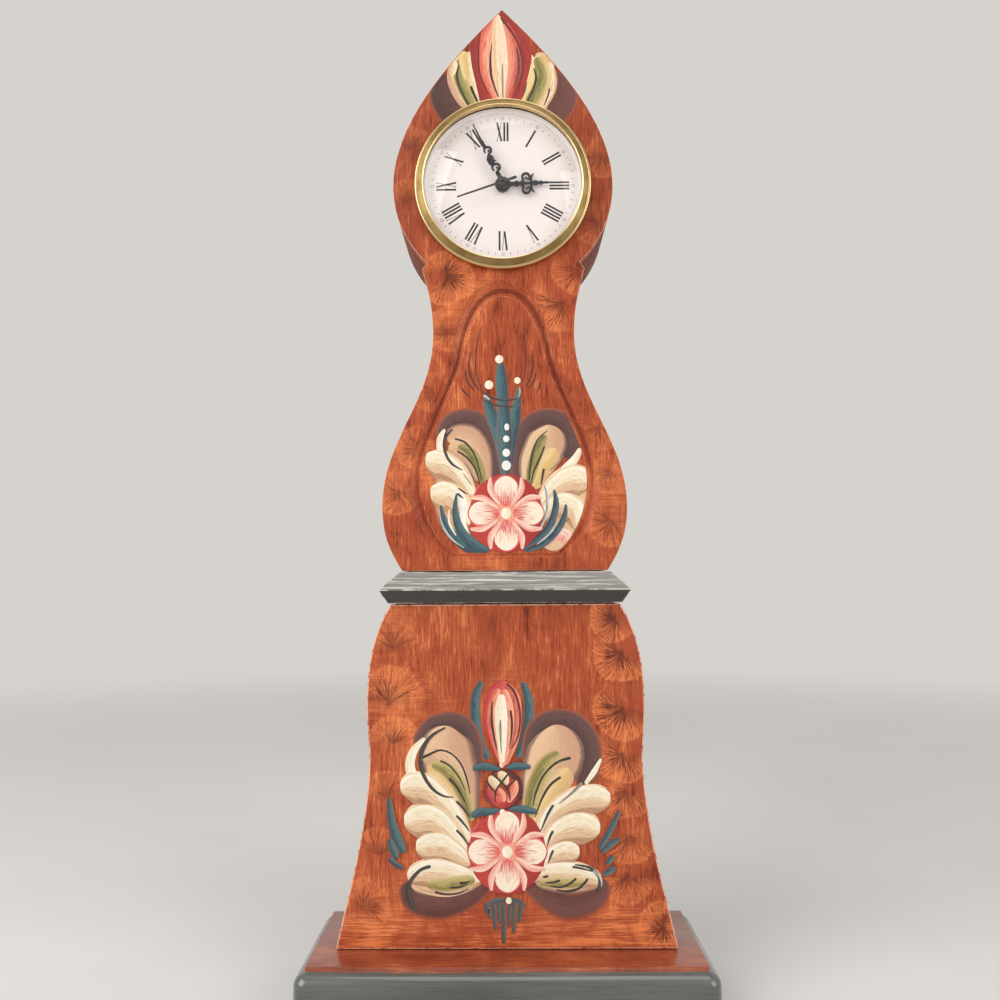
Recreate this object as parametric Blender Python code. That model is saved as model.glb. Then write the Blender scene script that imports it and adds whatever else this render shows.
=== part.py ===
"""A folk-painted table clock in the shape of a small longcase clock.

Two sawn pine blocks stand on a plinth board with a painted moulding between them, and a round quartz insert
sits in a bore through the head. +Z is up, the dial faces -Y, and the origin is under the plinth's middle.
"""

import math

import bmesh
import bpy

MM = 0.001

# Fits: pieces that rest on each other, pins in their holes, and bare room round what turns
SEAT = 0.3 * MM
SLIP = 0.12 * MM
ROOM = 0.6 * MM

# Plinth board
BASE_HEIGHT = 22 * MM
BASE_ROUND = 5.3 * MM
BASE_FILLET = 2 * MM
SIDE_LEDGE = 8.7 * MM
FRONT_LEDGE = 16 * MM

# Pine blocks, sawn from one thickness of plank
CASE_DEPTH = 45 * MM
TRUNK_HEIGHT = 145 * MM
FOOT_HALF = 72.5 * MM
TRUNK_WAIST_HALF = 59 * MM
TRUNK_TOP_HALF = 50.2 * MM
FLARE_HEIGHT = 81 * MM
WAIST_SET_BACK = 5 * MM
BELLY_INSET = 0.6 * MM
BELLY_HEIGHT = 29 * MM
NECK_HALF = 31.9 * MM
NECK_DROP = 31 * MM
SHOULDER_STEP = 2.2 * MM
SHOULDER_DROP = 3 * MM
NOTCH_DROP = 36.5 * MM
DIAL_HEIGHT = 176.3 * MM
HEAD_RADIUS = 50.4 * MM
TIP_RISE = 85.3 * MM

# Handles of the sawn curves: offsets from a curve's first point and from its last one
FLARE_HANDLES = ((-4.6 * MM, 22 * MM), (0, -30 * MM))
TRUNK_SHOULDER_HANDLES = ((2 * MM, 19 * MM), (12.3 * MM, -18.2 * MM))
BELLY_HANDLES = ((6 * MM, 9 * MM), (0, -12 * MM))
NECK_HANDLES = ((0, 29.2 * MM), (0, -29.2 * MM))
SHOULDER_HANDLES = ((0, 13 * MM), (-2.6 * MM, -9 * MM))
TIP_HANDLES = ((0, 29.9 * MM), (24.7 * MM, -24.7 * MM))
PANEL_FOOT_HANDLES = ((9 * MM, 7 * MM), (0, -11 * MM))
PANEL_SIDE_HANDLES = ((0, 18 * MM), (5.2 * MM, -20 * MM))
PANEL_ARCH_HANDLES = ((-2.4 * MM, 14 * MM), (9.5 * MM, 0.5 * MM))

# Carved door panel on the waist
PANEL_MARGIN = 17.3 * MM
PANEL_NECK_MARGIN = 13.5 * MM
PANEL_FOOT_HALF = 22.9 * MM
PANEL_FOOT_HEIGHT = 7.5 * MM
PANEL_BELLY_LIFT = 10 * MM
PANEL_NECK_DROP = 28 * MM
PANEL_TOP_GAP = 12 * MM
GROOVE_WIDTH = 5 * MM
GROOVE_DEPTH = 1.8 * MM

# Moulding between the blocks
MOULDING_HEIGHT = 14 * MM
MOULDING_APEX = 6 * MM
MOULDING_OVERHANG = 4.7 * MM
MOULDING_PROUD = 6 * MM
MOULDING_REVEAL = 1.2 * MM

# Dowels and screws of the case
DOWEL_RADIUS = 5 * MM
DOWEL_LENGTH = 50 * MM
DOWEL_SPREAD = 26 * MM
SCREW_RADIUS = 2 * MM
SCREW_HEAD_RADIUS = 4 * MM
SCREW_HEAD_HEIGHT = 3 * MM
SCREW_BITE = 24 * MM
SCREW_SPREAD = 44 * MM

# Clock insert: bezel, lens, dial and cup, with heights measured out from the case's face
BEZEL_RADIUS = 40.5 * MM
BEZEL_WIDTH = 4.5 * MM
BEZEL_WALL = 1 * MM
BEZEL_HEIGHT = 4.8 * MM
BEZEL_EASE = 0.3 * MM
LENS_THICKNESS = 1 * MM
LENS_HEADROOM = 3.4 * MM
FLANGE_THICKNESS = 1 * MM
FLANGE_WIDTH = 1.6 * MM
DIAL_SINK = 1 * MM
DIAL_THICKNESS = 0.5 * MM
DIAL_RING_WIDTH = 1.5 * MM
CUP_WALL = 2 * MM
CUP_DEPTH = 21 * MM
PLATE_THICKNESS = 1.2 * MM
GRIP_DEPTH = 1.2 * MM
GRIP_WIDTH = 2.4 * MM
GRIP_PLACE = 8 * MM

# Hands: time shown, reach short of the dial's edge, and stack
HOUR_TURN = math.radians(87.9)
MINUTE_TURN = math.radians(334.2)
SECOND_TURN = math.radians(251)
HAND_THICKNESS = 0.4 * MM
HAND_STEP = 1.5 * MM
FIRST_HAND = 0.5 * MM
HOUR_HUB = 3.6 * MM
MINUTE_HUB = 2.4 * MM
SECOND_HUB = 1.5 * MM
HOUR_SHORT = 14.6 * MM
MINUTE_SHORT = 5.1 * MM
SECOND_SHORT = 14.3 * MM
SECOND_TAIL = 6.7 * MM
HAND_STEM = 0.8 * MM
HAND_SCROLL = 2.9 * MM
HAND_POINT = 0.15 * MM

# Going train and motion work: teeth, sizes and layers
TRAIN_MODULE = 0.42 * MM
WHEEL_THICKNESS = 0.8 * MM
PINION_THICKNESS = 1.1 * MM
LAYER_STEP = 1.5 * MM
ARBOR_RADIUS = 0.45 * MM
SHAFT_RADIUS = 0.8 * MM
TUBE_WALL = 0.6 * MM
PRESSURE = math.radians(25)
ADDENDUM = 0.75
DEDENDUM = 1.1
BACKLASH = 0.22
LEAVES = 6
CANNON_LEAVES = 10
MOTION_TEETH = 30
HOUR_TEETH = 24
CENTRE_TEETH = 48
THIRD_TEETH = 45
SECONDS_TEETH = 30
INTERMEDIATE_TEETH = 36
THIRD_DIRECTION = math.radians(165)
INTERMEDIATE_DIRECTION = math.radians(60)
ROTOR_DIRECTION = math.radians(100)
MOTION_DIRECTION = math.radians(-10)

# Electric drive and its supports
MAGNET_RADIUS = 2.4 * MM
MAGNET_THICKNESS = 1.8 * MM
STATOR_THICKNESS = 1 * MM
POLE_WALL = 1.4 * MM
STATOR_REACH = 12 * MM
STATOR_LEG = 3 * MM
COIL_RADIUS = 3.6 * MM
COIL_FLANGE = 1 * MM
BOBBIN_WALL = 0.7 * MM
BRIDGE_THICKNESS = 1.2 * MM
BRIDGE_MARGIN = 3.5 * MM
PILLAR_RADIUS = 2 * MM
PILLAR_LEFT_DIRECTION = math.radians(120)
PILLAR_RIGHT_DIRECTION = math.radians(25)
BRIDGE_SCREW_BITE = 4 * MM
PILOT_RADIUS = 0.7 * MM
SMALL_HEAD = 1.5 * MM
POST_RADIUS = 1.2 * MM
BOARD_SIZE = (10 * MM, 18 * MM)
BOARD_THICKNESS = 0.8 * MM
BOARD_PLACE = (-24 * MM, 1 * MM)
BOARD_STANDOFF = 2.5 * MM
CRYSTAL_RADIUS = 1 * MM
CRYSTAL_LENGTH = 6 * MM
CHIP_RADIUS = 2.6 * MM
CHIP_HEIGHT = 1.1 * MM

# Rear cover, battery bay, battery and knob
COVER_THICKNESS = 1.5 * MM
BAY_WALL = 1.2 * MM
BATTERY_RADIUS = 5.9 * MM
BATTERY_LENGTH = 29 * MM
NUB_RADIUS = 1.9 * MM
NUB_HEIGHT = 1.2 * MM
CONTACT_THICKNESS = 0.4 * MM
CONTACT_ROOM = 2.4 * MM
BAY_CLEARANCE = 2.6 * MM
BATTERY_SINK = 1.2 * MM
KNOB_RADIUS = 4.5 * MM
KNOB_HEIGHT = 4 * MM
KNOB_RIBS = 20
COVER_BOSS = 2.4 * MM
COVER_SCREW_TURNS = (math.radians(25), math.radians(155), math.radians(270))

# Roundness of turned pieces
RING_SIDES = 44
ROD_SIDES = 18
FINE_SIDES = 12
CURVE_STEPS = 10

# Colours, roughness and metal of the finishes
PINE = ((0.36, 0.11, 0.045), 0.45, 0.0)
PAINT = ((0.055, 0.06, 0.05), 0.35, 0.0)
BEECH = ((0.62, 0.42, 0.24), 0.6, 0.0)
BRASS = ((0.55, 0.40, 0.16), 0.3, 1.0)
STEEL = ((0.55, 0.56, 0.57), 0.35, 1.0)
CLEAR = ((0.95, 0.96, 0.96), 0.03, 0.0)
ENAMEL = ((0.86, 0.82, 0.81), 0.35, 0.0)
BLACK = ((0.02, 0.02, 0.02), 0.4, 0.0)
RUBBER = ((0.03, 0.03, 0.03), 0.85, 0.0)
NYLON = ((0.75, 0.74, 0.70), 0.5, 0.0)
COPPER = ((0.62, 0.26, 0.12), 0.35, 1.0)
LAMINATE = ((0.10, 0.26, 0.12), 0.5, 0.0)
JACKET = ((0.10, 0.12, 0.16), 0.4, 0.2)
MAGNET = ((0.20, 0.20, 0.21), 0.6, 0.0)

# Heights and planes that follow from the sizes above
BASE_DEPTH = CASE_DEPTH + FRONT_LEDGE + BASE_ROUND
BACK = BASE_DEPTH / 2
FRONT = BACK - CASE_DEPTH
TRUNK_BOTTOM = BASE_HEIGHT + SEAT
TRUNK_TOP = TRUNK_BOTTOM + TRUNK_HEIGHT
MOULDING_BOTTOM = TRUNK_TOP + SEAT
MOULDING_TOP = MOULDING_BOTTOM + MOULDING_HEIGHT
WAIST_BOTTOM = MOULDING_TOP + SEAT
DIAL_Z = WAIST_BOTTOM + DIAL_HEIGHT
WAIST_FOOT_HALF = TRUNK_TOP_HALF - WAIST_SET_BACK
MOULDING_HALF = TRUNK_TOP_HALF + MOULDING_OVERHANG
BELLY_HALF = MOULDING_HALF - BELLY_INSET

# Radii and levels of the insert, level 0 being the case's face and + being outwards
BEZEL_LIP_RADIUS = BEZEL_RADIUS - BEZEL_WIDTH
BEZEL_INSIDE = BEZEL_RADIUS - BEZEL_WALL
FLANGE_RADIUS = BEZEL_INSIDE - SEAT
CUP_RADIUS = FLANGE_RADIUS - FLANGE_WIDTH
BORE_RADIUS = CUP_RADIUS + 2 * SEAT
CUP_INSIDE = CUP_RADIUS - CUP_WALL
DIAL_RADIUS = BEZEL_LIP_RADIUS + SEAT
FLANGE_TOP = SEAT + FLANGE_THICKNESS
LENS_BACK = FLANGE_TOP + SEAT
LENS_RIM_TOP = LENS_BACK + LENS_THICKNESS
DIAL_BACK = -DIAL_SINK - DIAL_THICKNESS
PLATE_FRONT = DIAL_BACK - SEAT
PLATE_BACK = PLATE_FRONT - PLATE_THICKNESS
CUP_BACK = -CUP_DEPTH
COVER_FRONT = CUP_BACK - SEAT
COVER_BACK = COVER_FRONT - COVER_THICKNESS
CANNON_INSIDE = ARBOR_RADIUS + SLIP
CANNON_RADIUS = CANNON_INSIDE + TUBE_WALL
HOUR_INSIDE = CANNON_RADIUS + SLIP
HOUR_RADIUS = HOUR_INSIDE + TUBE_WALL
BUSH_INSIDE = HOUR_RADIUS + SLIP
BUSH_RADIUS = BUSH_INSIDE + TUBE_WALL
HOUR_LEVEL = FIRST_HAND
MINUTE_LEVEL = HOUR_LEVEL + HAND_STEP
SECOND_LEVEL = MINUTE_LEVEL + HAND_STEP
LENS_APEX = SECOND_LEVEL + HAND_THICKNESS + LENS_HEADROOM
FIRST_LAYER = PLATE_BACK - ROOM - PINION_THICKNESS / 2
LAYERS = [FIRST_LAYER - place * LAYER_STEP for place in range(6)]
STATOR_LEVEL = LAYERS[5] - PINION_THICKNESS / 2 - ROOM - MAGNET_THICKNESS / 2
BRIDGE_FRONT = STATOR_LEVEL - MAGNET_THICKNESS / 2 - ROOM
BRIDGE_BACK = BRIDGE_FRONT - BRIDGE_THICKNESS

# Wheel modules, so that both pairs on one axis share its distance, and the axes seen from the front
MOTION_DISTANCE = (CANNON_LEAVES + MOTION_TEETH) / 2 * TRAIN_MODULE
MOTION_PINION_MODULE = 2 * MOTION_DISTANCE / (LEAVES + HOUR_TEETH)
CENTRE_MODULE = 0.7 * TRAIN_MODULE
THIRD_DISTANCE = (LEAVES + CENTRE_TEETH) / 2 * CENTRE_MODULE
THIRD_MODULE = 2 * THIRD_DISTANCE / (LEAVES + THIRD_TEETH)
SECONDS_MODULE = 1.07 * TRAIN_MODULE
INTERMEDIATE_DISTANCE = (LEAVES + SECONDS_TEETH) / 2 * SECONDS_MODULE
INTERMEDIATE_MODULE = 0.85 * TRAIN_MODULE
ROTOR_DISTANCE = (LEAVES + INTERMEDIATE_TEETH) / 2 * INTERMEDIATE_MODULE


def polar(distance, direction, start=(0.0, 0.0)):
    return (start[0] + distance * math.cos(direction), start[1] + distance * math.sin(direction))


CENTRE = (0.0, 0.0)
MOTION = polar(MOTION_DISTANCE, MOTION_DIRECTION)
THIRD = polar(THIRD_DISTANCE, THIRD_DIRECTION)
INTERMEDIATE = polar(INTERMEDIATE_DISTANCE, INTERMEDIATE_DIRECTION)
ROTOR = polar(ROTOR_DISTANCE, ROTOR_DIRECTION, INTERMEDIATE)
MOTION_REACH = (MOTION_TEETH / 2 + ADDENDUM) * TRAIN_MODULE
THIRD_REACH = (THIRD_TEETH / 2 + ADDENDUM) * THIRD_MODULE
PILLAR_LEFT = polar(THIRD_REACH + 2 * PILLAR_RADIUS, PILLAR_LEFT_DIRECTION, THIRD)
PILLAR_RIGHT = polar(MOTION_REACH + 2 * PILLAR_RADIUS, PILLAR_RIGHT_DIRECTION, MOTION)
POLE_HALF = MAGNET_RADIUS + ROOM + POLE_WALL
COIL_PLACE = (ROTOR[0], ROTOR[1] + POLE_HALF + COIL_RADIUS + COIL_FLANGE + 2 * ROOM)
COIL_HALF = STATOR_REACH - STATOR_LEG - SEAT
STATOR_POSTS = [(ROTOR[0] + side * (STATOR_REACH - POST_RADIUS), ROTOR[1]) for side in (-1, 1)]
BOARD_POSTS = [(BOARD_PLACE[0], BOARD_PLACE[1] + side * BOARD_SIZE[1] / 3) for side in (-1, 1)]
BOARD_FRONT = PLATE_BACK - BOARD_STANDOFF
BOARD_BACK = BOARD_FRONT - BOARD_THICKNESS
COVER_SCREWS = [polar(CUP_INSIDE - COVER_BOSS * 0.75, turn) for turn in COVER_SCREW_TURNS]
BAY_HALF_LENGTH = BATTERY_LENGTH / 2 + NUB_HEIGHT / 2 + CONTACT_ROOM
BAY_HALF_WIDTH = BATTERY_RADIUS + 2 * SEAT
BAY_CORNER_DROP = math.sqrt((CUP_INSIDE - BAY_CLEARANCE) ** 2 - (BAY_HALF_LENGTH + BAY_WALL) ** 2)
BATTERY_PLACE = (0.0, BAY_HALF_WIDTH + BAY_WALL - BAY_CORNER_DROP)
BATTERY_LEVEL = COVER_BACK + BATTERY_SINK + BATTERY_RADIUS
BAY_FLOOR = BATTERY_LEVEL + BATTERY_RADIUS + SEAT


def curve(start, end, handles, steps=CURVE_STEPS):
    """Points along a cubic curve between two points with handles, leaving out its end."""
    first = (start[0] + handles[0][0], start[1] + handles[0][1])
    second = (end[0] + handles[1][0], end[1] + handles[1][1])
    points = []
    for step in range(steps):
        t = step / steps
        weights = ((1 - t) ** 3, 3 * t * (1 - t) ** 2, 3 * t * t * (1 - t), t**3)
        knots = (start, first, second, end)
        points.append(tuple(sum(w * k[axis] for w, k in zip(weights, knots)) for axis in (0, 1)))
    return points


def mirrored(right):
    """A closed outline from its right half, listed from the bottom up."""
    left = [(-x, y) for x, y in reversed(right) if x > 1e-9]
    return right + left


def empty(name, place, parent=None, turn=0.0):
    axis = bpy.data.objects.new(name, None)
    axis.empty_display_size = 0.01
    axis.location = place
    axis.rotation_euler = (turn, 0, 0)
    axis.parent = parent
    bpy.context.scene.collection.objects.link(axis)
    return axis


def add(name, shape, finish, parent=None, turn=0.0):
    """Makes a named, shaded object of a bmesh, under its parent and turned about its own Z."""
    shape.normal_update()
    bmesh.ops.recalc_face_normals(shape, faces=shape.faces)
    mesh = bpy.data.meshes.new(name)
    shape.to_mesh(mesh)
    shape.free()
    mesh.shade_smooth()
    mesh.set_sharp_from_angle(angle=math.radians(32))
    piece = bpy.data.objects.new(name, mesh)
    piece.parent = parent
    piece.rotation_euler = (0, 0, turn)
    bpy.context.scene.collection.objects.link(piece)
    colour, roughness, metal = finish
    material = bpy.data.materials.new(name + "_finish")
    material.use_nodes = True
    shader = material.node_tree.nodes["Principled BSDF"]
    shader.inputs["Base Color"].default_value = (*colour, 1)
    shader.inputs["Roughness"].default_value = roughness
    shader.inputs["Metallic"].default_value = metal
    if finish is CLEAR:
        shader.inputs["Transmission Weight"].default_value = 1
    mesh.materials.append(material)
    return piece


def combine(piece, name, shape, operation):
    """Joins a helper shape to a piece, or cuts it away, in the piece's own frame."""
    helper = add(piece.name + "_" + name, shape, BLACK, piece)
    helper.hide_render = True
    helper.display_type = "WIRE"
    change = piece.modifiers.new(name, "BOOLEAN")
    change.operation = operation
    change.solver = "EXACT"
    change.object = helper


def cut(piece, name, shape):
    combine(piece, name, shape, "DIFFERENCE")


def join(piece, name, shape):
    combine(piece, name, shape, "UNION")


def prism(outline, low, high, shape=None):
    """An outline in X and Y, raised from one level to another."""
    shape = shape or bmesh.new()
    floor = shape.faces.new([shape.verts.new((x, y, low)) for x, y in outline])
    raised = bmesh.ops.extrude_face_region(shape, geom=[floor])["geom"]
    top = [item for item in raised if isinstance(item, bmesh.types.BMVert)]
    bmesh.ops.translate(shape, verts=top, vec=(0, 0, high - low))
    return shape


def box(low, high, shape=None):
    outline = [(low[0], low[1]), (high[0], low[1]), (high[0], high[1]), (low[0], high[1])]
    return prism(outline, low[2], high[2], shape)


def circle(radius, sides, place=CENTRE):
    return [polar(radius, 2 * math.pi * k / sides, place) for k in range(sides)]


def rod(radius, low, high, place=CENTRE, sides=FINE_SIDES, shape=None):
    return prism(circle(radius, sides, place), low, high, shape)


def turned(profile, sides=RING_SIDES, place=CENTRE):
    """A profile of radii and levels spun about Z. It is closed, or starts and ends on the axis."""
    shape = bmesh.new()
    points = [shape.verts.new((radius, 0, level)) for radius, level in profile]
    edges = [shape.edges.new(pair) for pair in zip(points, points[1:])]
    if min(radius for radius, level in profile) > 0:
        edges.append(shape.edges.new((points[-1], points[0])))
    bmesh.ops.spin(
        shape,
        geom=points + edges,
        cent=(0, 0, 0),
        axis=(0, 0, 1),
        angle=2 * math.pi,
        steps=sides,
        use_merge=True,
    )
    bmesh.ops.remove_doubles(shape, verts=shape.verts, dist=1e-7)
    bmesh.ops.translate(shape, verts=shape.verts, vec=(place[0], place[1], 0))
    return shape


def lofted(rings):
    """A closed body through level rings of the same number of points, bottom first."""
    shape = bmesh.new()
    loops = [[shape.verts.new(point) for point in ring] for ring in rings]
    for below, above in zip(loops, loops[1:]):
        for k in range(len(below)):
            after = (k + 1) % len(below)
            shape.faces.new((below[k], below[after], above[after], above[k]))
    shape.faces.new(list(reversed(loops[0])))
    shape.faces.new(loops[-1])
    return shape


def involute(angle):
    return math.tan(angle) - angle


def gear(teeth, module, tooth_at, low, high, shape=None):
    """A toothed disc with one tooth pointing along the direction tooth_at."""
    pitch = teeth * module / 2
    base = pitch * math.cos(PRESSURE)
    half = (math.pi / 2 - BACKLASH) * module / (2 * pitch)

    def flank(radius):
        return half + involute(PRESSURE) - involute(math.acos(base / max(radius, base)))

    root = pitch - DEDENDUM * module
    tip = pitch + ADDENDUM * module
    outline = []
    for k in range(teeth):
        middle = tooth_at + 2 * math.pi * k / teeth
        for radius, side in ((root, -1), (tip, -1), (tip, 1), (root, 1)):
            outline.append(polar(radius, middle + side * flank(radius)))
    return prism(outline, low, high, shape)


def wheel_at(layer, teeth, module, tooth_at):
    return gear(teeth, module, tooth_at, layer - WHEEL_THICKNESS / 2, layer + WHEEL_THICKNESS / 2)


def pinion_at(layer, teeth, module, tooth_at):
    return gear(teeth, module, tooth_at, layer - PINION_THICKNESS / 2, layer + PINION_THICKNESS / 2)


def gap_towards(direction, teeth):
    """The tooth direction that leaves a gap facing a mate, whose own tooth points along direction."""
    return direction + math.pi + math.pi / teeth


# Case


def add_base():
    def ring(inset, level):
        corner = BASE_ROUND + SEAT - inset
        right = FOOT_HALF + SIDE_LEDGE + BASE_ROUND - inset
        front = -BACK + inset
        points = [(right, BACK, level), (-right, BACK, level)]
        for side, start in ((-1, math.pi), (1, 1.5 * math.pi)):
            middle = (side * (right - corner), front + corner)
            for k in range(5):
                points.append((*polar(corner, start + k * math.pi / 8, middle), level))
        return points

    round_bottom = BASE_HEIGHT - BASE_FILLET - BASE_ROUND
    rings = [ring(0, 0)]
    for k in range(6):
        turn = k * math.pi / 10
        rings.append(ring(BASE_ROUND * (1 - math.cos(turn)), round_bottom + BASE_ROUND * math.sin(turn)))
    rings.append(ring(BASE_ROUND, BASE_HEIGHT))
    base = add("base_board", lofted(rings), PINE)
    middle = (FRONT + BACK) / 2
    holes = bmesh.new()
    for side in (-1, 1):
        place = (side * SCREW_SPREAD, middle)
        rod(SCREW_RADIUS + SEAT, -SEAT, BASE_HEIGHT + SEAT, place, FINE_SIDES, holes)
    cut(base, "screw_holes", holes)
    for side, name in ((-1, "left"), (1, "right")):
        place = (side * SCREW_SPREAD, middle)
        sink = [
            (0, SCREW_HEAD_HEIGHT + 3 * SEAT),
            (SCREW_RADIUS, SCREW_HEAD_HEIGHT + 3 * SEAT),
            (SCREW_HEAD_RADIUS + 2 * SEAT, 2 * SEAT),
            (SCREW_HEAD_RADIUS + 2 * SEAT, -SEAT),
            (0, -SEAT),
        ]
        cut(base, "countersink_" + name, turned(sink, FINE_SIDES, place))


def add_base_screws():
    middle = (FRONT + BACK) / 2
    for side, name in ((-1, "left"), (1, "right")):
        tip = TRUNK_BOTTOM + SCREW_BITE
        profile = [
            (0, tip),
            (SCREW_RADIUS, tip - 2 * SCREW_RADIUS),
            (SCREW_RADIUS, SCREW_HEAD_HEIGHT + 2 * SEAT),
            (SCREW_HEAD_RADIUS, 2 * SEAT),
            (SCREW_HEAD_RADIUS, SEAT),
            (0, SEAT),
        ]
        add("base_screw_" + name, turned(profile, FINE_SIDES, (side * SCREW_SPREAD, middle)), STEEL)


def trunk_outline():
    foot = (FOOT_HALF, TRUNK_BOTTOM)
    waist = (TRUNK_WAIST_HALF, TRUNK_BOTTOM + FLARE_HEIGHT)
    top = (TRUNK_TOP_HALF, TRUNK_TOP)
    flare = curve(foot, waist, FLARE_HANDLES)
    shoulder = curve(waist, top, TRUNK_SHOULDER_HANDLES)
    return mirrored(flare + shoulder + [top])


def dowel_holes(low, high):
    """Two upright bores in the front view's frame, half the case's depth in from its face."""
    holes = bmesh.new()
    for side in (-1, 1):
        rod(DOWEL_RADIUS + SEAT, low, high, (side * DOWEL_SPREAD, CASE_DEPTH / 2), ROD_SIDES, holes)
    turn_upright(holes)
    return holes


def turn_upright(shape):
    """Takes a shape with its length along Z to the front view's frame, with its length along Y."""
    for point in shape.verts:
        x, y, z = point.co
        point.co = (x, z, -y)


def add_trunk(front):
    trunk = add("lower_case", prism(trunk_outline(), -CASE_DEPTH, 0), PINE, front)
    dowel_bottom = MOULDING_BOTTOM + MOULDING_HEIGHT / 2 - DOWEL_LENGTH / 2
    cut(trunk, "dowel_holes", dowel_holes(dowel_bottom - SEAT, TRUNK_TOP + SEAT))
    pilots = bmesh.new()
    for side in (-1, 1):
        top = TRUNK_BOTTOM + SCREW_BITE + SEAT
        place = (side * SCREW_SPREAD, CASE_DEPTH / 2)
        rod(SCREW_RADIUS + SEAT, TRUNK_BOTTOM - SEAT, top, place, FINE_SIDES, pilots)
    turn_upright(pilots)
    cut(trunk, "screw_pilots", pilots)


def add_moulding():
    def ring(half, proud, level):
        front = FRONT - proud
        return [(-half, front, level), (half, front, level), (half, BACK, level), (-half, BACK, level)]

    rings = [
        ring(TRUNK_TOP_HALF + MOULDING_REVEAL, MOULDING_REVEAL, MOULDING_BOTTOM),
        ring(MOULDING_HALF, MOULDING_PROUD, MOULDING_BOTTOM + MOULDING_APEX),
        ring(WAIST_FOOT_HALF + MOULDING_REVEAL, MOULDING_REVEAL, MOULDING_TOP),
    ]
    moulding = add("waist_moulding", lofted(rings), PAINT)
    holes = bmesh.new()
    for side in (-1, 1):
        place = (side * DOWEL_SPREAD, (FRONT + BACK) / 2)
        rod(DOWEL_RADIUS + SEAT, MOULDING_BOTTOM - SEAT, MOULDING_TOP + SEAT, place, ROD_SIDES, holes)
    cut(moulding, "dowel_holes", holes)


def add_dowels():
    middle = MOULDING_BOTTOM + MOULDING_HEIGHT / 2
    low = middle - DOWEL_LENGTH / 2
    high = middle + DOWEL_LENGTH / 2
    for side, name in ((-1, "left"), (1, "right")):
        place = (side * DOWEL_SPREAD, (FRONT + BACK) / 2)
        add("case_dowel_" + name, rod(DOWEL_RADIUS, low, high, place, ROD_SIDES), BEECH)


def waist_outline():
    """The hood and waist: belly, neck, a small step at the shoulder, round head and pointed tip."""
    foot = (WAIST_FOOT_HALF, WAIST_BOTTOM)
    belly = (BELLY_HALF, WAIST_BOTTOM + BELLY_HEIGHT)
    notch = (math.sqrt(HEAD_RADIUS**2 - NOTCH_DROP**2), DIAL_Z - NOTCH_DROP)
    shoulder = (notch[0] + SHOULDER_STEP, notch[1] - SHOULDER_DROP)
    neck = (NECK_HALF, shoulder[1] - NECK_DROP)
    tip = (0.0, DIAL_Z + TIP_RISE)
    widest = (HEAD_RADIUS, DIAL_Z)
    right = curve(foot, belly, BELLY_HANDLES)
    right += curve(belly, neck, NECK_HANDLES)
    right += curve(neck, shoulder, SHOULDER_HANDLES)
    right.append(shoulder)
    start = math.atan2(-NOTCH_DROP, notch[0])
    for k in range(CURVE_STEPS):
        right.append(polar(HEAD_RADIUS, start * (1 - k / CURVE_STEPS), (0, DIAL_Z)))
    right += curve(widest, tip, TIP_HANDLES)
    return mirrored(right + [tip])


def panel_outline():
    """The raised door panel: flat foot, round belly, narrow neck and round arch."""
    bottom = WAIST_BOTTOM + PANEL_FOOT_HEIGHT
    top = DIAL_Z - BEZEL_RADIUS - PANEL_TOP_GAP
    belly = (BELLY_HALF - PANEL_MARGIN, WAIST_BOTTOM + BELLY_HEIGHT + PANEL_BELLY_LIFT)
    neck = (NECK_HALF - PANEL_NECK_MARGIN, top - PANEL_NECK_DROP)
    foot = (PANEL_FOOT_HALF, bottom)
    right = [(0.5 * PANEL_FOOT_HALF, bottom)]
    right += curve(foot, belly, PANEL_FOOT_HANDLES)
    right += curve(belly, neck, PANEL_SIDE_HANDLES)
    right += curve(neck, (0, top), PANEL_ARCH_HANDLES)
    return mirrored(right + [(0.0, top)])


def panel_groove():
    """A groove round the panel, steep at the panel's edge and easing outwards."""
    outline = panel_outline()
    section = ((0, GROOVE_WIDTH), (0, -GROOVE_DEPTH), (GROOVE_WIDTH, 0), (GROOVE_WIDTH, GROOVE_WIDTH))
    shape = bmesh.new()
    loops = []
    for k, point in enumerate(outline):
        before = outline[k - 1]
        after = outline[(k + 1) % len(outline)]
        along = (after[0] - before[0], after[1] - before[1])
        length = math.hypot(*along)
        outwards = (along[1] / length, -along[0] / length)
        loops.append(
            [
                shape.verts.new((point[0] + outwards[0] * out, point[1] + outwards[1] * out, level))
                for out, level in section
            ]
        )
    for k, loop in enumerate(loops):
        after = loops[(k + 1) % len(loops)]
        for side in range(len(section)):
            turn = (side + 1) % len(section)
            shape.faces.new((loop[side], loop[turn], after[turn], after[side]))
    return shape


def add_waist(front):
    waist = add("upper_case", prism(waist_outline(), -CASE_DEPTH, 0), PINE, front)
    cut(waist, "insert_bore", rod(BORE_RADIUS, -CASE_DEPTH - SEAT, SEAT, (0, DIAL_Z), RING_SIDES))
    cut(waist, "panel_groove", panel_groove())
    dowel_top = MOULDING_BOTTOM + MOULDING_HEIGHT / 2 + DOWEL_LENGTH / 2
    cut(waist, "dowel_holes", dowel_holes(WAIST_BOTTOM - SEAT, dowel_top + SEAT))


# Clock insert: what shows


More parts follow.
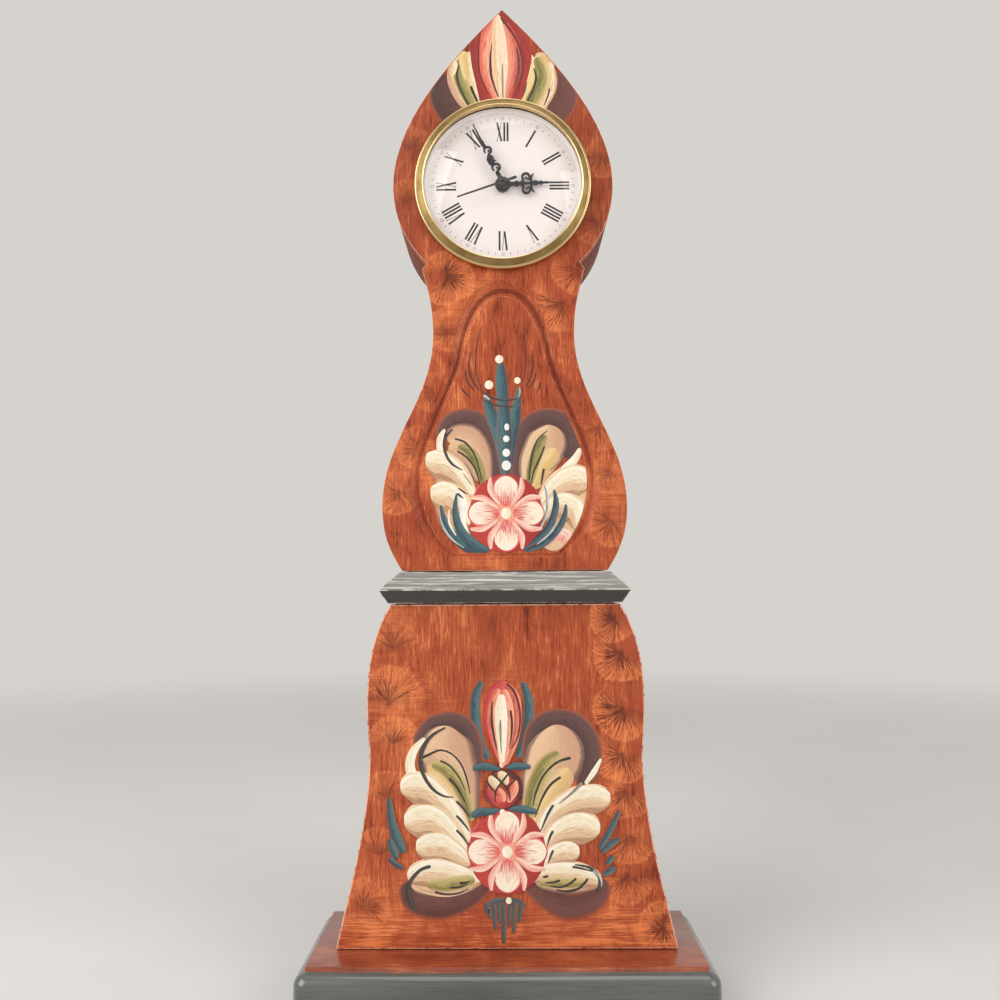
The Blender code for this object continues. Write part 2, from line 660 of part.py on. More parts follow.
def add_bezel(insert):
    lip_back = LENS_RIM_TOP + SEAT
    profile = [
        (BEZEL_LIP_RADIUS, lip_back),
        (BEZEL_LIP_RADIUS, BEZEL_HEIGHT - BEZEL_EASE),
        (BEZEL_LIP_RADIUS + 0.1 * BEZEL_WIDTH, BEZEL_HEIGHT),
        (BEZEL_LIP_RADIUS + 0.2 * BEZEL_WIDTH, BEZEL_HEIGHT - BEZEL_EASE),
        (BEZEL_LIP_RADIUS + 0.8 * BEZEL_WIDTH, LENS_RIM_TOP),
        (BEZEL_RADIUS, FLANGE_TOP),
        (BEZEL_RADIUS, SEAT),
        (BEZEL_INSIDE, SEAT),
        (BEZEL_INSIDE, lip_back),
    ]
    add("bezel", turned(profile), BRASS, insert)


def dome(rim_radius, rim_level, apex, steps=5):
    """Radii and levels of a shallow dome, from its middle to its rim."""
    rise = apex - rim_level
    ball = (rim_radius**2 + rise**2) / (2 * rise)
    points = []
    for k in range(steps + 1):
        radius = rim_radius * k / steps
        points.append((radius, apex - ball + math.sqrt(ball**2 - radius**2)))
    return points


def add_lens(insert):
    outside = BEZEL_LIP_RADIUS - SEAT
    inside = outside - LENS_THICKNESS / 2
    profile = dome(outside, LENS_RIM_TOP, LENS_APEX + LENS_THICKNESS)
    profile += [(FLANGE_RADIUS, LENS_RIM_TOP), (FLANGE_RADIUS, LENS_BACK)]
    profile += list(reversed(dome(inside, LENS_BACK, LENS_APEX)))
    add("lens", turned(profile), CLEAR, insert)


def add_dial(insert):
    dial_hole = BUSH_RADIUS + SEAT
    profile = [
        (dial_hole, -DIAL_SINK),
        (DIAL_RADIUS, -DIAL_SINK),
        (DIAL_RADIUS, DIAL_BACK),
        (dial_hole, DIAL_BACK),
    ]
    add("dial", turned(profile), ENAMEL, insert)
    inside = DIAL_RADIUS - DIAL_RING_WIDTH
    low = SEAT - DIAL_SINK
    ring = [(inside, low), (DIAL_RADIUS - SEAT, FLANGE_TOP), (DIAL_RADIUS, FLANGE_TOP), (DIAL_RADIUS, low)]
    add("dial_ring", turned(ring), ENAMEL, insert)


def blade(places):
    """A hand's outline along +Y, from places given as distance, left half width and right half width."""
    right = [(wide, reach) for reach, left, wide in places]
    left = [(-wide, reach) for reach, wide, right_wide in reversed(places)]
    return right + left


def add_hand(name, insert, level, hub, hole, places, turn):
    hand = add(name, rod(hub, level, level + HAND_THICKNESS, sides=ROD_SIDES), BLACK, insert, -turn)
    join(hand, "blade", prism(blade(places), level, level + HAND_THICKNESS))
    cut(hand, "hole", rod(hole + SLIP / 2, level - SEAT, level + HAND_THICKNESS + SEAT))


def add_hands(insert):
    stem = HAND_STEM
    scroll = HAND_SCROLL
    point = HAND_POINT
    reach = DIAL_RADIUS - HOUR_SHORT
    root = HOUR_RADIUS + 3 * SLIP
    hour = [
        (root, stem, stem),
        (0.38 * reach, stem, stem),
        (0.43 * reach, scroll, scroll),
        (0.49 * reach, 1.2 * scroll, 1.2 * scroll),
        (0.56 * reach, scroll, scroll),
        (0.61 * reach, stem, stem),
        (0.72 * reach, 1.3 * stem, 1.3 * stem),
        (0.80 * reach, 0.6 * stem, 0.6 * stem),
        (reach, point, point),
    ]
    add_hand("hour_hand", insert, HOUR_LEVEL, HOUR_HUB, HOUR_RADIUS, hour, HOUR_TURN)
    reach = DIAL_RADIUS - MINUTE_SHORT
    root = CANNON_RADIUS + 3 * SLIP
    minute = [
        (root, stem, stem),
        (0.22 * reach, stem, stem),
        (0.28 * reach, scroll, 1.3 * stem),
        (0.34 * reach, stem, stem),
        (0.49 * reach, 0.8 * stem, 0.8 * stem),
        (0.55 * reach, 1.2 * stem, scroll),
        (0.61 * reach, 0.7 * stem, 0.7 * stem),
        (0.75 * reach, 0.8 * stem, 0.8 * stem),
        (reach, point, point),
    ]
    add_hand("minute_hand", insert, MINUTE_LEVEL, MINUTE_HUB, CANNON_RADIUS, minute, MINUTE_TURN)
    reach = DIAL_RADIUS - SECOND_SHORT
    second = add(
        "second_hand",
        rod(SECOND_HUB, SECOND_LEVEL, SECOND_LEVEL + HAND_THICKNESS, sides=ROD_SIDES),
        BLACK,
        insert,
        -SECOND_TURN,
    )
    needle = [(-SECOND_TAIL, 0.6 * stem, 0.6 * stem), (0, 0.4 * stem, 0.4 * stem), (reach, point, point)]
    join(second, "blade", prism(blade(needle), SECOND_LEVEL, SECOND_LEVEL + HAND_THICKNESS))
    hole = rod(ARBOR_RADIUS + SLIP / 2, SECOND_LEVEL - SEAT, SECOND_LEVEL + HAND_THICKNESS + SEAT)
    cut(second, "hole", hole)


# Clock insert: cup and movement


def add_housing(insert):
    """The cup with its flange, the movement's front plate, the centre bush and the posts behind it."""
    recess = DIAL_RADIUS + SEAT
    groove = CUP_RADIUS - GRIP_DEPTH
    profile = [
        (recess, FLANGE_TOP),
        (FLANGE_RADIUS, FLANGE_TOP),
        (FLANGE_RADIUS, SEAT),
        (CUP_RADIUS, SEAT),
        (CUP_RADIUS, -GRIP_PLACE),
        (groove, -GRIP_PLACE),
        (groove, -GRIP_PLACE - GRIP_WIDTH - 2 * SEAT),
        (CUP_RADIUS, -GRIP_PLACE - GRIP_WIDTH - 2 * SEAT),
        (CUP_RADIUS, CUP_BACK),
        (CUP_INSIDE, CUP_BACK),
        (CUP_INSIDE, PLATE_BACK),
        (BUSH_INSIDE, PLATE_BACK),
        (BUSH_INSIDE, -DIAL_SINK + SEAT),
        (BUSH_RADIUS, -DIAL_SINK + SEAT),
        (BUSH_RADIUS, PLATE_FRONT),
        (recess, PLATE_FRONT),
    ]
    housing = add("housing", turned(profile), BLACK, insert)
    sunk = PLATE_BACK + PLATE_THICKNESS / 2
    posts = bmesh.new()
    for place in (PILLAR_LEFT, PILLAR_RIGHT):
        rod(PILLAR_RADIUS, BRIDGE_FRONT + SEAT, sunk, place, FINE_SIDES, posts)
    for place in STATOR_POSTS:
        rod(POST_RADIUS, STATOR_LEVEL + STATOR_THICKNESS / 2 + SEAT, sunk, place, FINE_SIDES, posts)
    for place in BOARD_POSTS:
        rod(POST_RADIUS, BOARD_FRONT + SEAT, sunk, place, FINE_SIDES, posts)
    for place in COVER_SCREWS:
        rod(COVER_BOSS, CUP_BACK, CUP_BACK + 4 * COVER_BOSS, place, FINE_SIDES, posts)
    join(housing, "posts", posts)
    holes = bmesh.new()
    for place, radius in ((THIRD, ARBOR_RADIUS), (INTERMEDIATE, ARBOR_RADIUS), (ROTOR, ARBOR_RADIUS)):
        rod(radius + SLIP, PLATE_BACK - SEAT, PLATE_FRONT + SEAT, place, FINE_SIDES, holes)
    rod(SHAFT_RADIUS + SLIP, PLATE_BACK - SEAT, PLATE_FRONT + SEAT, MOTION, FINE_SIDES, holes)
    for place in (PILLAR_LEFT, PILLAR_RIGHT):
        pilot_end = BRIDGE_FRONT + BRIDGE_SCREW_BITE
        rod(PILOT_RADIUS + SLIP, BRIDGE_FRONT - SEAT, pilot_end, place, FINE_SIDES, holes)
    for place in COVER_SCREWS:
        rod(PILOT_RADIUS + SLIP, CUP_BACK - SEAT, CUP_BACK + 3 * COVER_BOSS, place, FINE_SIDES, holes)
    cut(housing, "holes", holes)


def add_grip_ring(insert):
    inside = CUP_RADIUS - GRIP_DEPTH + SEAT
    outside = BORE_RADIUS - SEAT
    low = -GRIP_PLACE - SEAT - GRIP_WIDTH
    high = -GRIP_PLACE - SEAT
    ease = 0.25 * GRIP_WIDTH
    profile = [(inside, high), (outside, high - ease), (outside, low + ease), (inside, low)]
    add("grip_ring", turned(profile), RUBBER, insert)


def add_train(insert):
    """The wheels on their axes, each with a tooth or a gap set towards its mate."""
    rear_pivot = BRIDGE_FRONT - BRIDGE_THICKNESS / 2
    front_pivot = PLATE_FRONT - PLATE_THICKNESS / 3
    third_axis = empty("third_axis", (*THIRD, 0), insert)
    intermediate_axis = empty("intermediate_axis", (*INTERMEDIATE, 0), insert)
    rotor_axis = empty("rotor_axis", (*ROTOR, 0), insert)
    motion_axis = empty("motion_axis", (*MOTION, 0), insert)

    tube_front = HOUR_LEVEL + HAND_THICKNESS
    wheel = wheel_at(LAYERS[0], HOUR_TEETH, MOTION_PINION_MODULE, MOTION_DIRECTION)
    hour = add("hour_wheel", wheel, NYLON, insert)
    join(hour, "tube", rod(HOUR_RADIUS, LAYERS[0], tube_front, sides=ROD_SIDES))
    cut(hour, "bore", rod(HOUR_INSIDE, LAYERS[0] - ROOM, tube_front + ROOM, sides=ROD_SIDES))

    tooth = gap_towards(MOTION_DIRECTION, MOTION_TEETH)
    motion = add("motion_wheel", wheel_at(LAYERS[1], MOTION_TEETH, TRAIN_MODULE, tooth), NYLON, motion_axis)
    tooth = gap_towards(MOTION_DIRECTION, LEAVES)
    join(motion, "pinion", pinion_at(LAYERS[0], LEAVES, MOTION_PINION_MODULE, tooth))
    knob_back = COVER_BACK - SEAT - KNOB_HEIGHT / 2
    join(motion, "shaft", rod(SHAFT_RADIUS, knob_back, front_pivot))

    tube_front = MINUTE_LEVEL + HAND_THICKNESS
    tube_back = LAYERS[2] - WHEEL_THICKNESS / 2
    tooth = MOTION_DIRECTION
    cannon = add("cannon_pinion", pinion_at(LAYERS[1], CANNON_LEAVES, TRAIN_MODULE, tooth), BRASS, insert)
    join(cannon, "tube", rod(CANNON_RADIUS, tube_back, tube_front, sides=ROD_SIDES))
    cut(cannon, "bore", rod(CANNON_INSIDE, tube_back - ROOM, tube_front + ROOM))

    wheel = wheel_at(LAYERS[2], CENTRE_TEETH, CENTRE_MODULE, THIRD_DIRECTION)
    centre = add("centre_wheel", wheel, NYLON, insert)
    bore = CANNON_RADIUS + SLIP
    cut(centre, "bore", rod(bore, LAYERS[2] - ROOM, LAYERS[2] + ROOM, sides=ROD_SIDES))

    between = (LAYERS[1] - PINION_THICKNESS / 2 + LAYERS[2] + WHEEL_THICKNESS / 2) / 2
    leaf = SLIP
    spring = [
        (bore, between + leaf),
        (3 * bore, between - leaf / 2),
        (3 * bore, between - 1.5 * leaf),
        (bore, between),
    ]
    add("clutch_spring", turned(spring, ROD_SIDES), BRASS, insert)

    tooth = gap_towards(THIRD_DIRECTION, THIRD_TEETH)
    third = add("third_wheel", wheel_at(LAYERS[3], THIRD_TEETH, THIRD_MODULE, tooth), NYLON, third_axis)
    tooth = gap_towards(THIRD_DIRECTION, LEAVES)
    join(third, "pinion", pinion_at(LAYERS[2], LEAVES, CENTRE_MODULE, tooth))
    join(third, "arbor", rod(ARBOR_RADIUS, rear_pivot, front_pivot))

    tooth = INTERMEDIATE_DIRECTION
    seconds = add("seconds_wheel", wheel_at(LAYERS[4], SECONDS_TEETH, SECONDS_MODULE, tooth), NYLON, insert)
    join(seconds, "pinion", pinion_at(LAYERS[3], LEAVES, THIRD_MODULE, THIRD_DIRECTION))
    join(seconds, "arbor", rod(ARBOR_RADIUS, rear_pivot, SECOND_LEVEL + HAND_THICKNESS))

    wheel = wheel_at(LAYERS[5], INTERMEDIATE_TEETH, INTERMEDIATE_MODULE, ROTOR_DIRECTION)
    intermediate = add("intermediate_wheel", wheel, NYLON, intermediate_axis)
    tooth = gap_towards(INTERMEDIATE_DIRECTION, LEAVES)
    join(intermediate, "pinion", pinion_at(LAYERS[4], LEAVES, SECONDS_MODULE, tooth))
    join(intermediate, "arbor", rod(ARBOR_RADIUS, rear_pivot, front_pivot))

    magnet = rod(
        MAGNET_RADIUS,
        STATOR_LEVEL - MAGNET_THICKNESS / 2,
        STATOR_LEVEL + MAGNET_THICKNESS / 2,
        sides=ROD_SIDES,
    )
    rotor = add("rotor", magnet, MAGNET, rotor_axis)
    tooth = gap_towards(ROTOR_DIRECTION, LEAVES)
    join(rotor, "pinion", pinion_at(LAYERS[5], LEAVES, INTERMEDIATE_MODULE, tooth))
    join(rotor, "arbor", rod(ARBOR_RADIUS, rear_pivot, front_pivot))
    return motion_axis


def add_bridge(insert):
    low = (PILLAR_LEFT[0] - BRIDGE_MARGIN, MOTION[1] - BRIDGE_MARGIN, BRIDGE_BACK)
    high = (PILLAR_RIGHT[0] + BRIDGE_MARGIN, ROTOR[1] + BRIDGE_MARGIN, BRIDGE_FRONT)
    bridge = add("train_bridge", box(low, high), BLACK, insert)
    holes = bmesh.new()
    for place in (CENTRE, THIRD, INTERMEDIATE, ROTOR):
        rod(ARBOR_RADIUS + SLIP, BRIDGE_BACK - SEAT, BRIDGE_FRONT + SEAT, place, FINE_SIDES, holes)
    rod(SHAFT_RADIUS + SLIP, BRIDGE_BACK - SEAT, BRIDGE_FRONT + SEAT, MOTION, FINE_SIDES, holes)
    for place in (PILLAR_LEFT, PILLAR_RIGHT):
        rod(PILOT_RADIUS + SLIP, BRIDGE_BACK - SEAT, BRIDGE_FRONT + SEAT, place, FINE_SIDES, holes)
    cut(bridge, "holes", holes)
    for place, name in ((PILLAR_LEFT, "left"), (PILLAR_RIGHT, "right")):
        tip = BRIDGE_FRONT + BRIDGE_SCREW_BITE - SEAT
        add("bridge_screw_" + name, small_screw(tip, BRIDGE_BACK - SEAT, place), STEEL, insert)


def small_screw(tip, head, place):
    """A pan-head screw from its tip back to the underside of its head."""
    profile = [
        (0, tip),
        (PILOT_RADIUS, tip - PILOT_RADIUS),
        (PILOT_RADIUS, head),
        (SMALL_HEAD, head),
        (SMALL_HEAD, head - 0.6 * SMALL_HEAD),
        (0, head - 0.7 * SMALL_HEAD),
    ]
    return turned(profile, FINE_SIDES, place)


def add_drive(insert):
    """Stator with its rotor hole, coil on the stator's core, and the circuit on its posts."""
    low = STATOR_LEVEL - STATOR_THICKNESS / 2
    high = STATOR_LEVEL + STATOR_THICKNESS / 2
    left = ROTOR[0] - STATOR_REACH
    right = ROTOR[0] + STATOR_REACH
    pole_low = ROTOR[1] - POLE_HALF
    pole_high = ROTOR[1] + POLE_HALF
    core_low = COIL_PLACE[1] - STATOR_LEG / 2
    core_high = COIL_PLACE[1] + STATOR_LEG / 2
    stator = add("stator", box((left, pole_low, low), (right, core_high, high)), STEEL, insert)
    window_low = (left + STATOR_LEG, pole_high, low - ROOM)
    window_high = (right - STATOR_LEG, core_low, high + ROOM)
    cut(stator, "window", box(window_low, window_high))
    cut(stator, "rotor_hole", rod(MAGNET_RADIUS + ROOM, low - ROOM, high + ROOM, ROTOR, ROD_SIDES))

    drum = STATOR_LEG / 2 + SEAT + BOBBIN_WALL
    start = COIL_PLACE[0] - COIL_HALF
    end = COIL_PLACE[0] + COIL_HALF
    bobbin = add("coil_bobbin", along_x(drum, start, end), BLACK, insert)
    flange = COIL_RADIUS + COIL_FLANGE / 2
    join(bobbin, "flange_left", along_x(flange, start, start + COIL_FLANGE))
    join(bobbin, "flange_right", along_x(flange, end - COIL_FLANGE, end))
    slot_low = (start - ROOM, core_low - SEAT, low - SEAT)
    slot_high = (end + ROOM, core_high + SEAT, high + SEAT)
    cut(bobbin, "slot", box(slot_low, slot_high))
    inner_end = end - COIL_FLANGE - SEAT
    inner_start = start + COIL_FLANGE + SEAT
    winding = add("coil_winding", along_x(COIL_RADIUS, inner_start, inner_end), COPPER, insert)
    cut(winding, "bore", along_x(drum + SEAT, inner_start - ROOM, inner_end + ROOM))

    half = (BOARD_SIZE[0] / 2, BOARD_SIZE[1] / 2)
    board_low = (BOARD_PLACE[0] - half[0], BOARD_PLACE[1] - half[1], BOARD_BACK)
    board_high = (BOARD_PLACE[0] + half[0], BOARD_PLACE[1] + half[1], BOARD_FRONT)
    add("circuit_board", box(board_low, board_high), LAMINATE, insert)
    level = BOARD_BACK - SEAT - CRYSTAL_RADIUS
    start = BOARD_PLACE[0] - CRYSTAL_LENGTH / 2
    place = (BOARD_PLACE[1] + BOARD_SIZE[1] / 4, level)
    add("quartz_crystal", along_x(CRYSTAL_RADIUS, start, start + CRYSTAL_LENGTH, place), STEEL, insert)
    chip_front = BOARD_BACK - SEAT
    chip = [(0, chip_front), (CHIP_RADIUS, chip_front), (0.7 * CHIP_RADIUS, chip_front - 0.8 * CHIP_HEIGHT)]
    chip.append((0, chip_front - CHIP_HEIGHT))
    place = (BOARD_PLACE[0], BOARD_PLACE[1] - BOARD_SIZE[1] / 5)
    add("clock_chip", turned(chip, FINE_SIDES, place), BLACK, insert)


def along_x(radius, start, end, place=None):
    """A rod along X, through a place given as its height and its level: the coil's by default."""
    height, level = place or (COIL_PLACE[1], STATOR_LEVEL)
    shape = rod(radius, start, end, sides=ROD_SIDES)
    for point in shape.verts:
        x, y, z = point.co
        point.co = (z, height + x, level + y)
    return shape


def add_cover(insert):
    """The rear cover with the battery bay sunk into it, open to the back."""
    plate = rod(CUP_RADIUS, COVER_BACK, COVER_FRONT, sides=RING_SIDES)
    cover = add("rear_cover", plate, BLACK, insert)
    reach = (BAY_HALF_LENGTH, BAY_HALF_WIDTH)
    middle = BATTERY_PLACE[1]
    wall_low = (-reach[0] - BAY_WALL, middle - reach[1] - BAY_WALL, COVER_BACK + COVER_THICKNESS / 2)
    wall_high = (reach[0] + BAY_WALL, middle + reach[1] + BAY_WALL, BAY_FLOOR + BAY_WALL)
    join(cover, "bay", box(wall_low, wall_high))
    room_low = (-reach[0], middle - reach[1], COVER_BACK - ROOM)
    room_high = (reach[0], middle + reach[1], BAY_FLOOR)
    cut(cover, "bay_room", box(room_low, room_high))
    holes = bmesh.new()
    rod(SHAFT_RADIUS + SLIP, COVER_BACK - SEAT, COVER_FRONT + SEAT, MOTION, FINE_SIDES, holes)
    for place in COVER_SCREWS:
        rod(PILOT_RADIUS + SLIP, COVER_BACK - SEAT, COVER_FRONT + SEAT, place, FINE_SIDES, holes)
    cut(cover, "holes", holes)
    for number, place in enumerate(COVER_SCREWS, 1):
        tip = CUP_BACK + 3 * COVER_BOSS - SEAT
        add(f"cover_screw_{number}", small_screw(tip, COVER_BACK - SEAT, place), STEEL, insert)


def add_battery(insert):
    """The cell along X with its nub to the right, and the strips that touch its ends."""
    start = -(BATTERY_LENGTH + NUB_HEIGHT) / 2
    end = start + BATTERY_LENGTH
    place = (BATTERY_PLACE[1], BATTERY_LEVEL)
    battery = add("battery", along_x(BATTERY_RADIUS, start, end, place), JACKET, insert)
    join(battery, "nub", along_x(NUB_RADIUS, end - ROOM, end + NUB_HEIGHT, place))
    wide = NUB_RADIUS + CONTACT_THICKNESS
    low = BATTERY_PLACE[1] - wide
    high = BATTERY_PLACE[1] + wide
    back = COVER_BACK + SEAT
    front = BAY_FLOOR - SEAT
    wall = BAY_HALF_LENGTH - SEAT
    plus_end = end + NUB_HEIGHT + SEAT
    plus = box((wall - CONTACT_THICKNESS, low, back), (wall, high, front))
    contact = add("contact_plus", plus, STEEL, insert)
    join(contact, "pip", along_x(NUB_RADIUS, plus_end, wall - CONTACT_THICKNESS / 2, place))
    touch = start - SEAT
    strip = [
        (-wall, back),
        (-wall + CONTACT_THICKNESS, back),
        (-wall + CONTACT_THICKNESS, front - 2 * CONTACT_THICKNESS),
        (touch - CONTACT_THICKNESS, BATTERY_LEVEL),
        (touch, BATTERY_LEVEL),
        (-wall + CONTACT_THICKNESS, front),
        (-wall, front),
    ]
    minus = bmesh.new()
    near = [minus.verts.new((x, low, level)) for x, level in strip]
    far = [minus.verts.new((x, high, level)) for x, level in strip]
    minus.faces.new(near)
    minus.faces.new(list(reversed(far)))
    for k in range(len(strip)):
        after = (k + 1) % len(strip)
        minus.faces.new((near[k], near[after], far[after], far[k]))
    add("contact_minus", minus, STEEL, insert)


def add_knob(motion_axis):
    """The setting knob, ribbed round its edge, on the end of the motion wheel's shaft."""
    front = COVER_BACK - SEAT
    outline = []
    for k in range(2 * KNOB_RIBS):
        radius = KNOB_RADIUS - (k % 2) * 0.1 * KNOB_RADIUS
        outline.append(polar(radius, math.pi * k / KNOB_RIBS))
    knob = add("setting_knob", prism(outline, front - KNOB_HEIGHT, front), BLACK, motion_axis)
    hole_end = front - KNOB_HEIGHT / 2 - SEAT
    cut(knob, "hole", rod(SHAFT_RADIUS + SLIP / 2, hole_end, front + SEAT))


for thing in list(bpy.data.objects):
    bpy.data.objects.remove(thing)
front_view = empty("front_view", (0, FRONT, 0), turn=math.pi / 2)
insert_axis = empty("insert_axis", (0, DIAL_Z, 0), front_view)
add_base()
add_base_screws()
add_trunk(front_view)
add_moulding()
add_dowels()
add_waist(front_view)
add_bezel(insert_axis)
add_lens(insert_axis)
add_dial(insert_axis)
add_hands(insert_axis)
add_housing(insert_axis)
add_grip_ring(insert_axis)
knob_axis = add_train(insert_axis)
add_bridge(insert_axis)
add_drive(insert_axis)
add_cover(insert_axis)
add_battery(insert_axis)
add_knob(knob_axis)
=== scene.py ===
import math

import bpy
from mathutils import Matrix, Vector
from mathutils.geometry import interpolate_bezier


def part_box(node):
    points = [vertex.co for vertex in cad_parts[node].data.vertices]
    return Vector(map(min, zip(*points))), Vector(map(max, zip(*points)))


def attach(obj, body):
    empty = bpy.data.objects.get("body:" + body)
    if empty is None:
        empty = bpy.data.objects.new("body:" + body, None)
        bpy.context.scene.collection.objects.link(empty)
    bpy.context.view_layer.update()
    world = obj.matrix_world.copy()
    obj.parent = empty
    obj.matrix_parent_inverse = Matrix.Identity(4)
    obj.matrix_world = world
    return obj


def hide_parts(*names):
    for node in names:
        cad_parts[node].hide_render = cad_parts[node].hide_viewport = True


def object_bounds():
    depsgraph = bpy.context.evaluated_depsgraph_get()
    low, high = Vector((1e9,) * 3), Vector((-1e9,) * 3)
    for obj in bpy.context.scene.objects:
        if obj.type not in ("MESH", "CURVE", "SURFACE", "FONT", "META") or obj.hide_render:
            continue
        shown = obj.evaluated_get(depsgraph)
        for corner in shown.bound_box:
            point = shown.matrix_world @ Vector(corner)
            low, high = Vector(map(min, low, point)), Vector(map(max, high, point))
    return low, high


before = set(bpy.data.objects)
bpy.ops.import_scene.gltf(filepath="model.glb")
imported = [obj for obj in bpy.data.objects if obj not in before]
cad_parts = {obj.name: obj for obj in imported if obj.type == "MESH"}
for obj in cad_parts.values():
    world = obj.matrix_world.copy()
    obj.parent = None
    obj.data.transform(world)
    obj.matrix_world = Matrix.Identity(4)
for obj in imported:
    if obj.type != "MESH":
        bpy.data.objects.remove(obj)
cad_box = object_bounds()

# Plinth: a planed pine board under the trunk. Its front and side edges are rounded over below a small square
# fillet. The edge is brushed with grey-green gloss paint, and the top is stained brown like the case.
MM = 0.001
plinth_round = 5.3 * MM
plinth_corner = 5.6 * MM
plinth_fillet = 2 * MM
plinth_ease = 0.35 * MM
sharp_angle = math.radians(35)
smooth_angle = math.radians(32)
plinth_low, plinth_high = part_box("base_board")
plinth_shoulder = plinth_high.z - plinth_fillet


def colour(red, green, blue):
    """A colour as a paint card gives it, 0 to 255, in the linear values that the shaders use."""
    linear = []
    for value in (red, green, blue):
        share = value / 255
        linear.append(share / 12.92 if share < 0.04045 else ((share + 0.055) / 1.055) ** 2.4)
    return (*linear, 1.0)


class Nodes:
    """A tree of nodes, built up call by call: each call gives an output that the next ones can use."""
    place = None

    def __init__(self, tree):
        self.tree = tree

    def node(self, kind, inputs=(), output=0, **settings):
        """Adds a node, sets it and its inputs by name or number, and returns one of its outputs."""
        made = self.tree.nodes.new("ShaderNode" + kind)
        for setting, value in settings.items():
            setattr(made, setting, value)
        for socket, value in dict(inputs).items():
            self.feed(made.inputs[socket], value)
        return made.outputs[output]

    def feed(self, socket, value):
        """Links a node's output to a socket, or sets the socket's own value."""
        if isinstance(value, bpy.types.NodeSocket):
            self.tree.links.new(value, socket)
        else:
            socket.default_value = value

    def noise(self, scale, stretch=(1, 1, 1), detail=3.0, rough=0.5, distort=0.0, place=None):
        """Noise whose features are about 1/scale metres wide, drawn out where stretch is small."""
        drawn = self.node("Mapping", {"Vector": place or self.place, "Scale": stretch})
        shape = {"Scale": scale, "Detail": detail, "Roughness": rough, "Distortion": distort}
        return self.node("TexNoise", {"Vector": drawn, **shape})

    def fade(self, value, low, high, to_low=0.0, to_high=1.0):
        """Eases from to_low, where value is low, to to_high, where value is high."""
        inputs = {"Value": value, "From Min": low, "From Max": high, "To Min": to_low, "To Max": to_high}
        return self.node("MapRange", inputs, interpolation_type="SMOOTHSTEP")

    def sum(self, operation, first, second=0.0):
        """One sum of two values."""
        return self.node("Math", {0: first, 1: second}, operation=operation)

    def blend(self, *shares):
        """The sum of several values, each times its share."""
        whole = 0.0
        for value, share in shares:
            whole = self.node("Math", {0: value, 1: share, 2: whole}, operation="MULTIPLY_ADD")
        return whole

    def mix(self, share, first, second, how="MIX"):
        """Mixes two colours."""
        inputs = {0: share, 6: first, 7: second}
        return self.node("Mix", inputs, output=2, data_type="RGBA", blend_type=how)

    def two_tone(self, pattern, dark, pale, low=0.35, high=0.65):
        """A colour that goes from dark to pale as a pattern rises."""
        return self.mix(self.fade(pattern, low, high), dark, pale)

    def axis(self, name, place=None):
        """One coordinate of a place."""
        return self.node("SeparateXYZ", {"Vector": place or self.place}, output=name)


class Finish(Nodes):
    """A procedural finish: a Principled shader and the nodes that feed it, read on Object coordinates."""

    def __init__(self, name, **constants):
        self.material = bpy.data.materials.new(name)
        self.material.use_nodes = True
        super().__init__(self.material.node_tree)
        self.shader = self.tree.nodes["Principled BSDF"]
        self.place = self.node("TexCoord", output="Object")
        for socket, value in constants.items():
            self.shade(socket.replace("_", " "), value)

    def shade(self, socket, value):
        """Feeds one socket of the shader itself."""
        self.feed(self.shader.inputs[socket], value)

    def rough(self, pattern, smooth, matt):
        """Makes the surface smooth where a pattern is low, and matt where it is high."""
        self.shade("Roughness", self.fade(pattern, 0.3, 0.7, smooth, matt))

    def bump(self, height, depth):
        """Raises the surface by depth metres where height is 1."""
        normal = self.node("Bump", {"Height": height, "Distance": depth, "Strength": 1.0})
        self.shade("Normal", normal)

    def dress(self, *pieces):
        """Gives the finish to pieces, as their only material."""
        for piece in pieces:
            piece.data.materials.clear()
            piece.data.materials.append(self.material)


def clear_bench():
    """Deselects everything, so that the next operator acts on the new piece alone."""
    if bpy.context.object and bpy.context.object.mode == "EDIT":
        bpy.ops.object.mode_set(mode="OBJECT")
    bpy.ops.object.select_all(action="DESELECT")


def open_mesh():
    """Goes to edit mode with the whole mesh selected."""
    bpy.ops.object.mode_set(mode="EDIT")
    bpy.ops.mesh.select_all(action="SELECT")


def close_mesh():
    """Turns the faces of the whole mesh outwards and leaves edit mode."""
    bpy.ops.mesh.select_all(action="SELECT")
    bpy.ops.mesh.normals_make_consistent(inside=False)
    bpy.ops.object.mode_set(mode="OBJECT")


def block(middle, size):
    """A rectangular block, the start of a planed piece or of a straight cut."""
    clear_bench()
    bpy.ops.mesh.primitive_cube_add(size=1, location=middle)
    made = bpy.context.object
    made.scale = size
    bpy.ops.object.transform_apply(location=True, rotation=True, scale=True)
    return made


def choose(piece, kind, test):
    """Selects the faces or edges whose middle and direction pass a test, and stays in edit mode."""
    bpy.ops.object.mode_set(mode="EDIT")
    bpy.ops.mesh.select_mode(type=kind)
    bpy.ops.mesh.select_all(action="DESELECT")
    bpy.ops.object.mode_set(mode="OBJECT")
    points = piece.data.vertices
    if kind == "FACE":
        for face in piece.data.polygons:
            face.select = bool(test(face.center, face.normal))
    else:
        for edge in piece.data.edges:
            start, end = (points[index].co for index in edge.vertices)
            edge.select = bool(test((start + end) / 2, (end - start).normalized()))
    bpy.ops.object.mode_set(mode="EDIT")


def ease_arrises(piece, width, segments=2, worn=-1):
    """Rounds the sharp arrises; worn is the slot of the rounded faces, pale with wear and painted highlight.
    """
    ease = piece.modifiers.new("eased", "BEVEL")
    ease.width = width
    ease.segments = segments
    ease.limit_method = "ANGLE"
    ease.angle_limit = sharp_angle
    ease.material = worn
    bpy.ops.object.modifier_apply(modifier=ease.name)
    bpy.ops.object.shade_smooth_by_angle(angle=smooth_angle)


